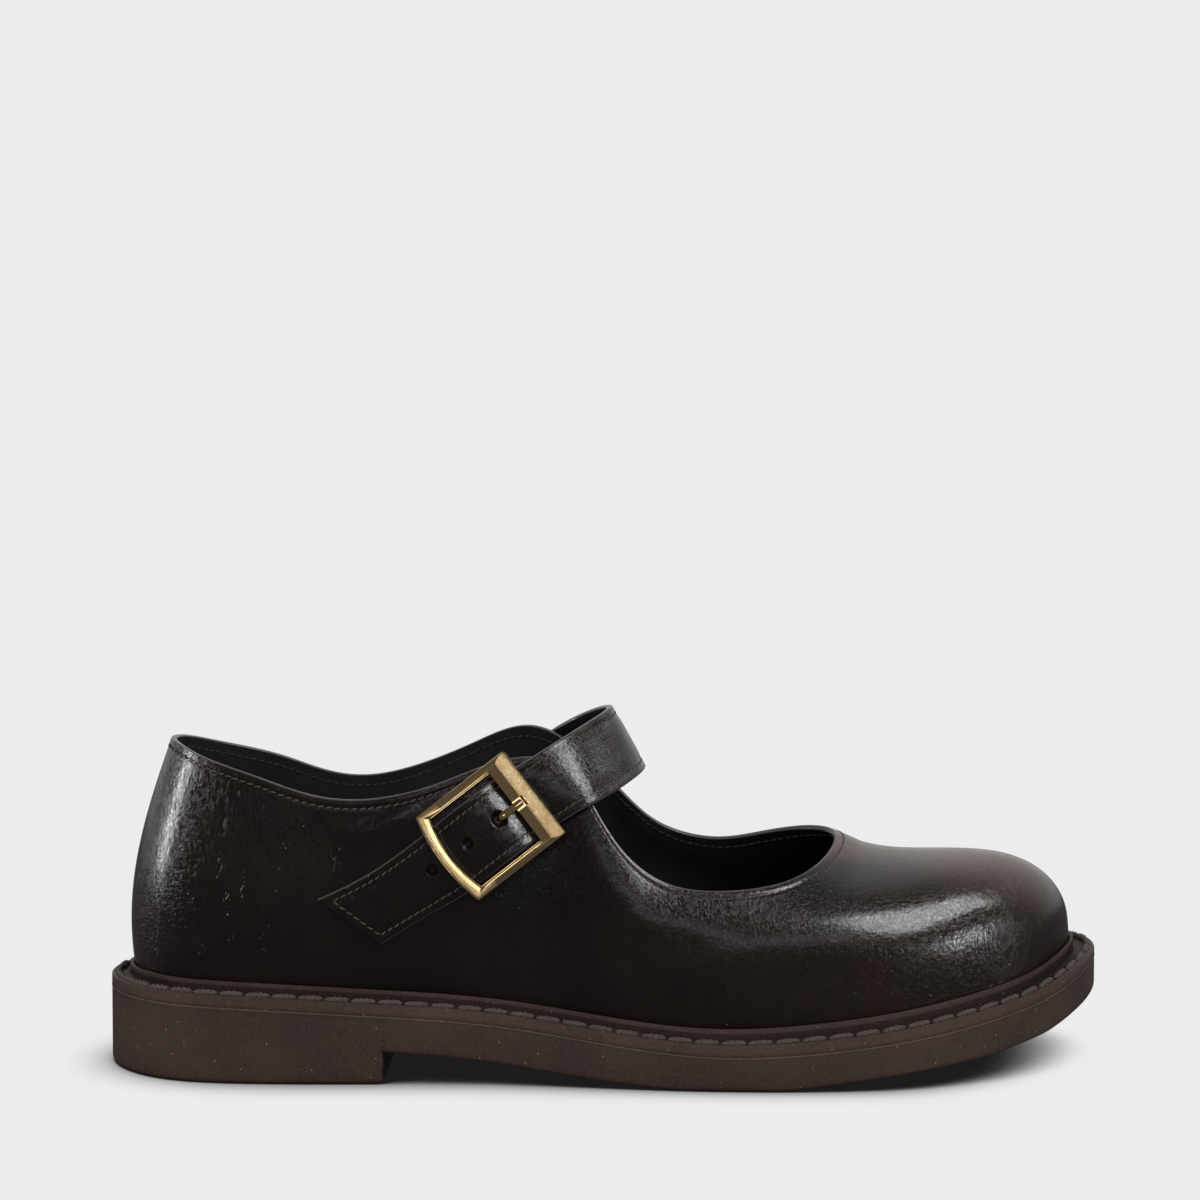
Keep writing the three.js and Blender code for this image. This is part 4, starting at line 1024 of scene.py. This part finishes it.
def frame_ring():
    """Sections round the frame: rounded corners, level catch bar with its notch, bowed rear bar."""
    catch, rear, rail = np.array(CATCH_FACE), np.array(REAR_FACE), np.array(RAIL_FACE)
    rounding = CORNER * np.clip(1 - np.arange(len(rail)) / 6, 0.05, 1)
    half_long, half_wide = BUCKLE_LENGTH / 2, BUCKLE_WIDTH / 2

    def corner(x_side, y_side, end, turns):
        sections = []
        for turn in np.radians(turns):
            x = x_side * (half_long - end[:, 0] - rounding * (1 - math.cos(turn)))
            y = y_side * (half_wide - rail[:, 0] - rounding * (1 - math.sin(turn)))
            sections.append(np.stack([x, y, end[:, 1]], 1))
        return sections

    def rail_piece(y_side):
        ends = []
        for end, x_side in ((catch, 1), (rear, -1)):
            x = x_side * (half_long - end[:, 0] - rounding - 0.7)
            ends.append(np.stack([x, y_side * (half_wide - rail[:, 0]), rail[:, 1]], 1))
        return [ends[0] * (1 - share) + ends[1] * share for share in np.linspace(0, 1, 6)][::y_side]

    def catch_piece(y):
        cut = (catch[:, 0] > NOTCH_FROM) & (abs(y) <= NOTCH_HALF)
        height = np.where(cut, np.minimum(catch[:, 1], NOTCH_FLOOR), catch[:, 1])
        return np.stack([half_long - catch[:, 0], np.full(len(catch), y), height], 1)

    def rear_piece(share):
        y = share * (half_wide - rail[:, 0] - rounding)
        bow = REAR_BOW * (1 - share * share)
        return np.stack([-(half_long + bow - rear[:, 0]), y, rear[:, 1]], 1)

    opening, closing = (90, 60, 30, 0), (0, 30, 60, 90)
    notch = [NOTCH_HALF + beside for beside in (0.25, 0.06, 0)]
    ring = corner(1, -1, catch, opening)
    ring += [catch_piece(y) for y in (*(-half for half in notch), 0, *notch[::-1])]
    ring += corner(1, 1, catch, closing) + rail_piece(1) + corner(-1, 1, rear, opening)
    ring += [rear_piece(share) for share in np.linspace(0.96, -0.96, 25)]
    ring += corner(-1, -1, rear, closing) + rail_piece(-1)
    ring = np.stack(ring + ring[:1])
    return join([ring, ring[:, :1]], 1)


def make_frame():
    """Buckle's frame with its brushed catch face, and the hidden bar with its posts."""
    bm = wrapped(frame_ring(), ((0, 0), (3, 1), (8, 0)), FINE_MERGE, on_buckle)
    for face in bm.faces:
        spot = BUCKLE.inverted() @ (Vector(np.array(face.calc_center_median()) / MM - SHIFT))
        if face.material_index and abs(spot.x) < BUCKLE_LENGTH / 2 - 4.4 and abs(spot.y) > 3:
            face.material_index = 0
    ring_faces = len(bm.faces)
    for x0, x1, y0, y1, z0, z1 in PIN_BLOCKS:
        middle = ((x0 + x1) / 2, (y0 + y1) / 2, (z0 + z1) / 2)
        for vert in bmesh.ops.create_cube(bm, size=1)["verts"]:
            vert.co = on_buckle(np.array(vert.co) * (x1 - x0, y1 - y0, z1 - z0) + middle)
    bm.faces.ensure_lookup_table()
    # The pin bar and its posts take the near-black metal as painted shade
    for face in bm.faces[ring_faces:]:
        face.material_index = 2
    bars = new_piece("buckle_bars", bm, gold_polished, gold_brushed, shadowed_pin_metal, slot="buckle_metal",
                     replaces=["buckle_frame"])
    bars.data.set_sharp_from_angle(angle=math.radians(38))


def make_prong():
    """Round prong that hooks on the hidden bar and rests in the notch."""
    last = len(PRONG_PATH) - 1
    path = curve([(step, *spot) for step, spot in enumerate(PRONG_PATH)])
    steps = np.linspace(0, last, 61)
    line, ahead = path(steps), unit(path(steps + 0.01) - path(steps - 0.01))
    half_wide = 1.0 - 0.12 * smooth((steps - 12.5) / 2.5)
    half_tall = 0.62 + 0.2 * bell(steps, 10, 1.6)
    turn = np.linspace(0, 2 * math.pi, 21)[None, :]
    ends = np.sqrt(np.clip(np.minimum(steps, last - steps) / 0.5, 0.0, 1))
    side = (ends * half_wide)[:, None] * np.cos(turn)
    out = (ends * half_tall)[:, None] * np.sin(turn)
    places = np.stack([line[:, :1] - ahead[:, 1:] * out, side, line[:, 1:] + ahead[:, :1] * out], -1)
    new_piece("buckle_tongue", wrapped(places, merge=FINE_MERGE, seated=on_buckle), gold_polished,
              slot="buckle_metal", replaces=["buckle_prong"])


# Brightness of the paper and of its deepest shadow, the shadow's reach in metres, and the share of the
# floor's light that gloss sees
PAPER, DEEPEST_SHADOW, SHADOW_REACH, FLOOR_IN_GLOSS = 0.838, 0.012, 0.026, 0.1

# Brightness of the surroundings: for gloss from front to back, for fill light from heel to toe
GLOSS_FRONT, GLOSS_BACK, FILL_HEEL, FILL_TOE = 0.06, 0.76, 0.88, 1.36


def make_floor():
    """A glowing pale floor with a painted shadow: it darkens only close round the sole, less under the
    raised toe.
    """
    bm = bmesh.new()
    bmesh.ops.create_grid(bm, x_segments=12, y_segments=12, size=12)
    floor = stand_in_scene("floor", to_mesh("floor", bm))
    toe_from, toe_to, toe_lift = 0.07, 0.135, 0.26
    material, where = new_material("pale_floor")
    tree = material.node_tree
    open_sky = add(tree, "AmbientOcclusion", {"Distance": SHADOW_REACH}, samples=16).outputs["AO"]
    along = add(tree, "SeparateXYZ", {0: where}).outputs["X"]
    under_toe = spread(along, toe_from, toe_to, 0.0, toe_lift)
    light = spread(sums("ADD", open_sky, under_toe), 0.28, 0.88, DEEPEST_SHADOW, PAPER)
    glossy = add(tree, "LightPath").outputs["Is Glossy Ray"]
    light = times(light, spread(glossy, 0.0, 1.0, 1.0, FLOOR_IN_GLOSS))
    glow = add(tree, "Emission", {"Strength": light})
    add(tree, "OutputMaterial", {"Surface": glow.outputs[0]})
    floor.data.materials.append(material)


def make_studio():
    """Even pale surroundings, brighter behind the shoe as its gloss sees them."""
    scene = bpy.context.scene
    scene.view_settings.view_transform = "Standard"
    scene.world = bpy.data.worlds.new("studio")
    tree = emptied(scene.world)
    path = add(tree, "LightPath").outputs
    apart = add(tree, "SeparateXYZ", {0: add(tree, "TexCoord").outputs["Generated"]}).outputs
    seen = spread(apart["Y"], 0.12, 0.88, GLOSS_FRONT, GLOSS_BACK)
    fill = spread(apart["X"], -1.0, 1.0, FILL_HEEL, FILL_TOE)
    even, dim = (add(tree, "Background", {"Color": (1, 1, 1, 1), "Strength": strength}).outputs[0]
                 for strength in (fill, seen))
    paper = add(tree, "Background", {"Color": (PAPER, PAPER, PAPER, 1)}).outputs[0]
    lit = add(tree, "MixShader", {0: path["Is Glossy Ray"], 1: even, 2: dim}).outputs[0]
    shown = add(tree, "MixShader", {0: path["Is Camera Ray"], 1: lit, 2: paper}).outputs[0]
    add(tree, "OutputWorld", {"Surface": shown})


# Soft boxes: name, place and aim in metres, width, height, brightness, pieces lit
LEATHER_PIECES = ["upper_shell", "strap_band", "buckle_keeper"]
SOFT_BOXES = [
    ("overhead", (0.62, -0.38, 0.76), (0.08, 0, 0.04), 0.5, 0.52, 10.5, LEATHER_PIECES),
    ("left_box", (-1.0, 0.03, 0.3), (-0.1, 0, 0.06), 0.13, 0.44, 23.0, LEATHER_PIECES),
    ("right_box", (1.0, -0.54, 0.06), (0.1, 0, 0.04), 0.22, 0.24, 16.0, ["upper_shell"]),
    ("front_box", (0.1, -1.1, 0.52), (0, 0, 0.05), 0.9, 0.24, 1.2, LEATHER_PIECES),
    ("strap_box", (0.8, 0.4, 0.62), (0, 0, 0.08), 0.14, 0.14, 2.5, ["strap_band"]),
    ("metal_box", (0.02, -1.15, 0.36), (-0.03, 0, 0.07), 0.6, 0.32, 1.6, ["buckle_bars", "buckle_tongue"]),
    ("thread_box", (0.2, -0.9, 0.8), (0, 0, 0.05), 0.6, 0.6, 1.4, ["topline_stitches", "strap_stitches"]),
]


def make_lights():
    """Soft boxes of an even brightness that light some pieces of the shoe and not the floor."""
    for name, place, aim, width, height, brightness, lit in SOFT_BOXES:
        light = bpy.data.lights.new(name, "AREA")
        light.shape = "RECTANGLE"
        light.size, light.size_y = width, height
        light.energy = brightness * math.pi * width * height
        lamp = stand_in_scene(name, light)
        lamp.location = place
        lamp.rotation_euler = (Vector(aim) - Vector(place)).to_track_quat("-Z", "Y").to_euler()
        lamp.visible_camera = False
        pieces = bpy.data.collections.new(name + "_lights")
        for piece in lit:
            pieces.objects.link(bpy.data.objects[piece])
        lamp.light_linking.receiver_collection = pieces


# Camera: millimetres back and up, degrees down, lens and sensor in millimetres
CAMERA_BACK, CAMERA_UP, CAMERA_TILT = 600, 148, 2.32
LENS, SENSOR = 66.6, 36


def make_camera():
    lens = bpy.data.cameras.new("camera")
    lens.lens, lens.sensor_width, lens.clip_end = LENS, SENSOR, 50
    camera = stand_in_scene("camera", lens)
    camera.location = to_frame((0, -CAMERA_BACK, CAMERA_UP))
    camera.rotation_euler = (math.radians(90 - CAMERA_TILT), 0, 0)
    bpy.context.scene.camera = camera


upper_tree = make_upper()
make_outsole()
make_welt()
make_insole()
strap_top, strap_normal, strap_length = make_strap(upper_tree)
sew_topline()
sew_welt()
sew_strap(strap_top, strap_normal, strap_length)
make_frame()
make_prong()
make_keeper()
make_floor()
make_studio()
make_lights()
make_camera()
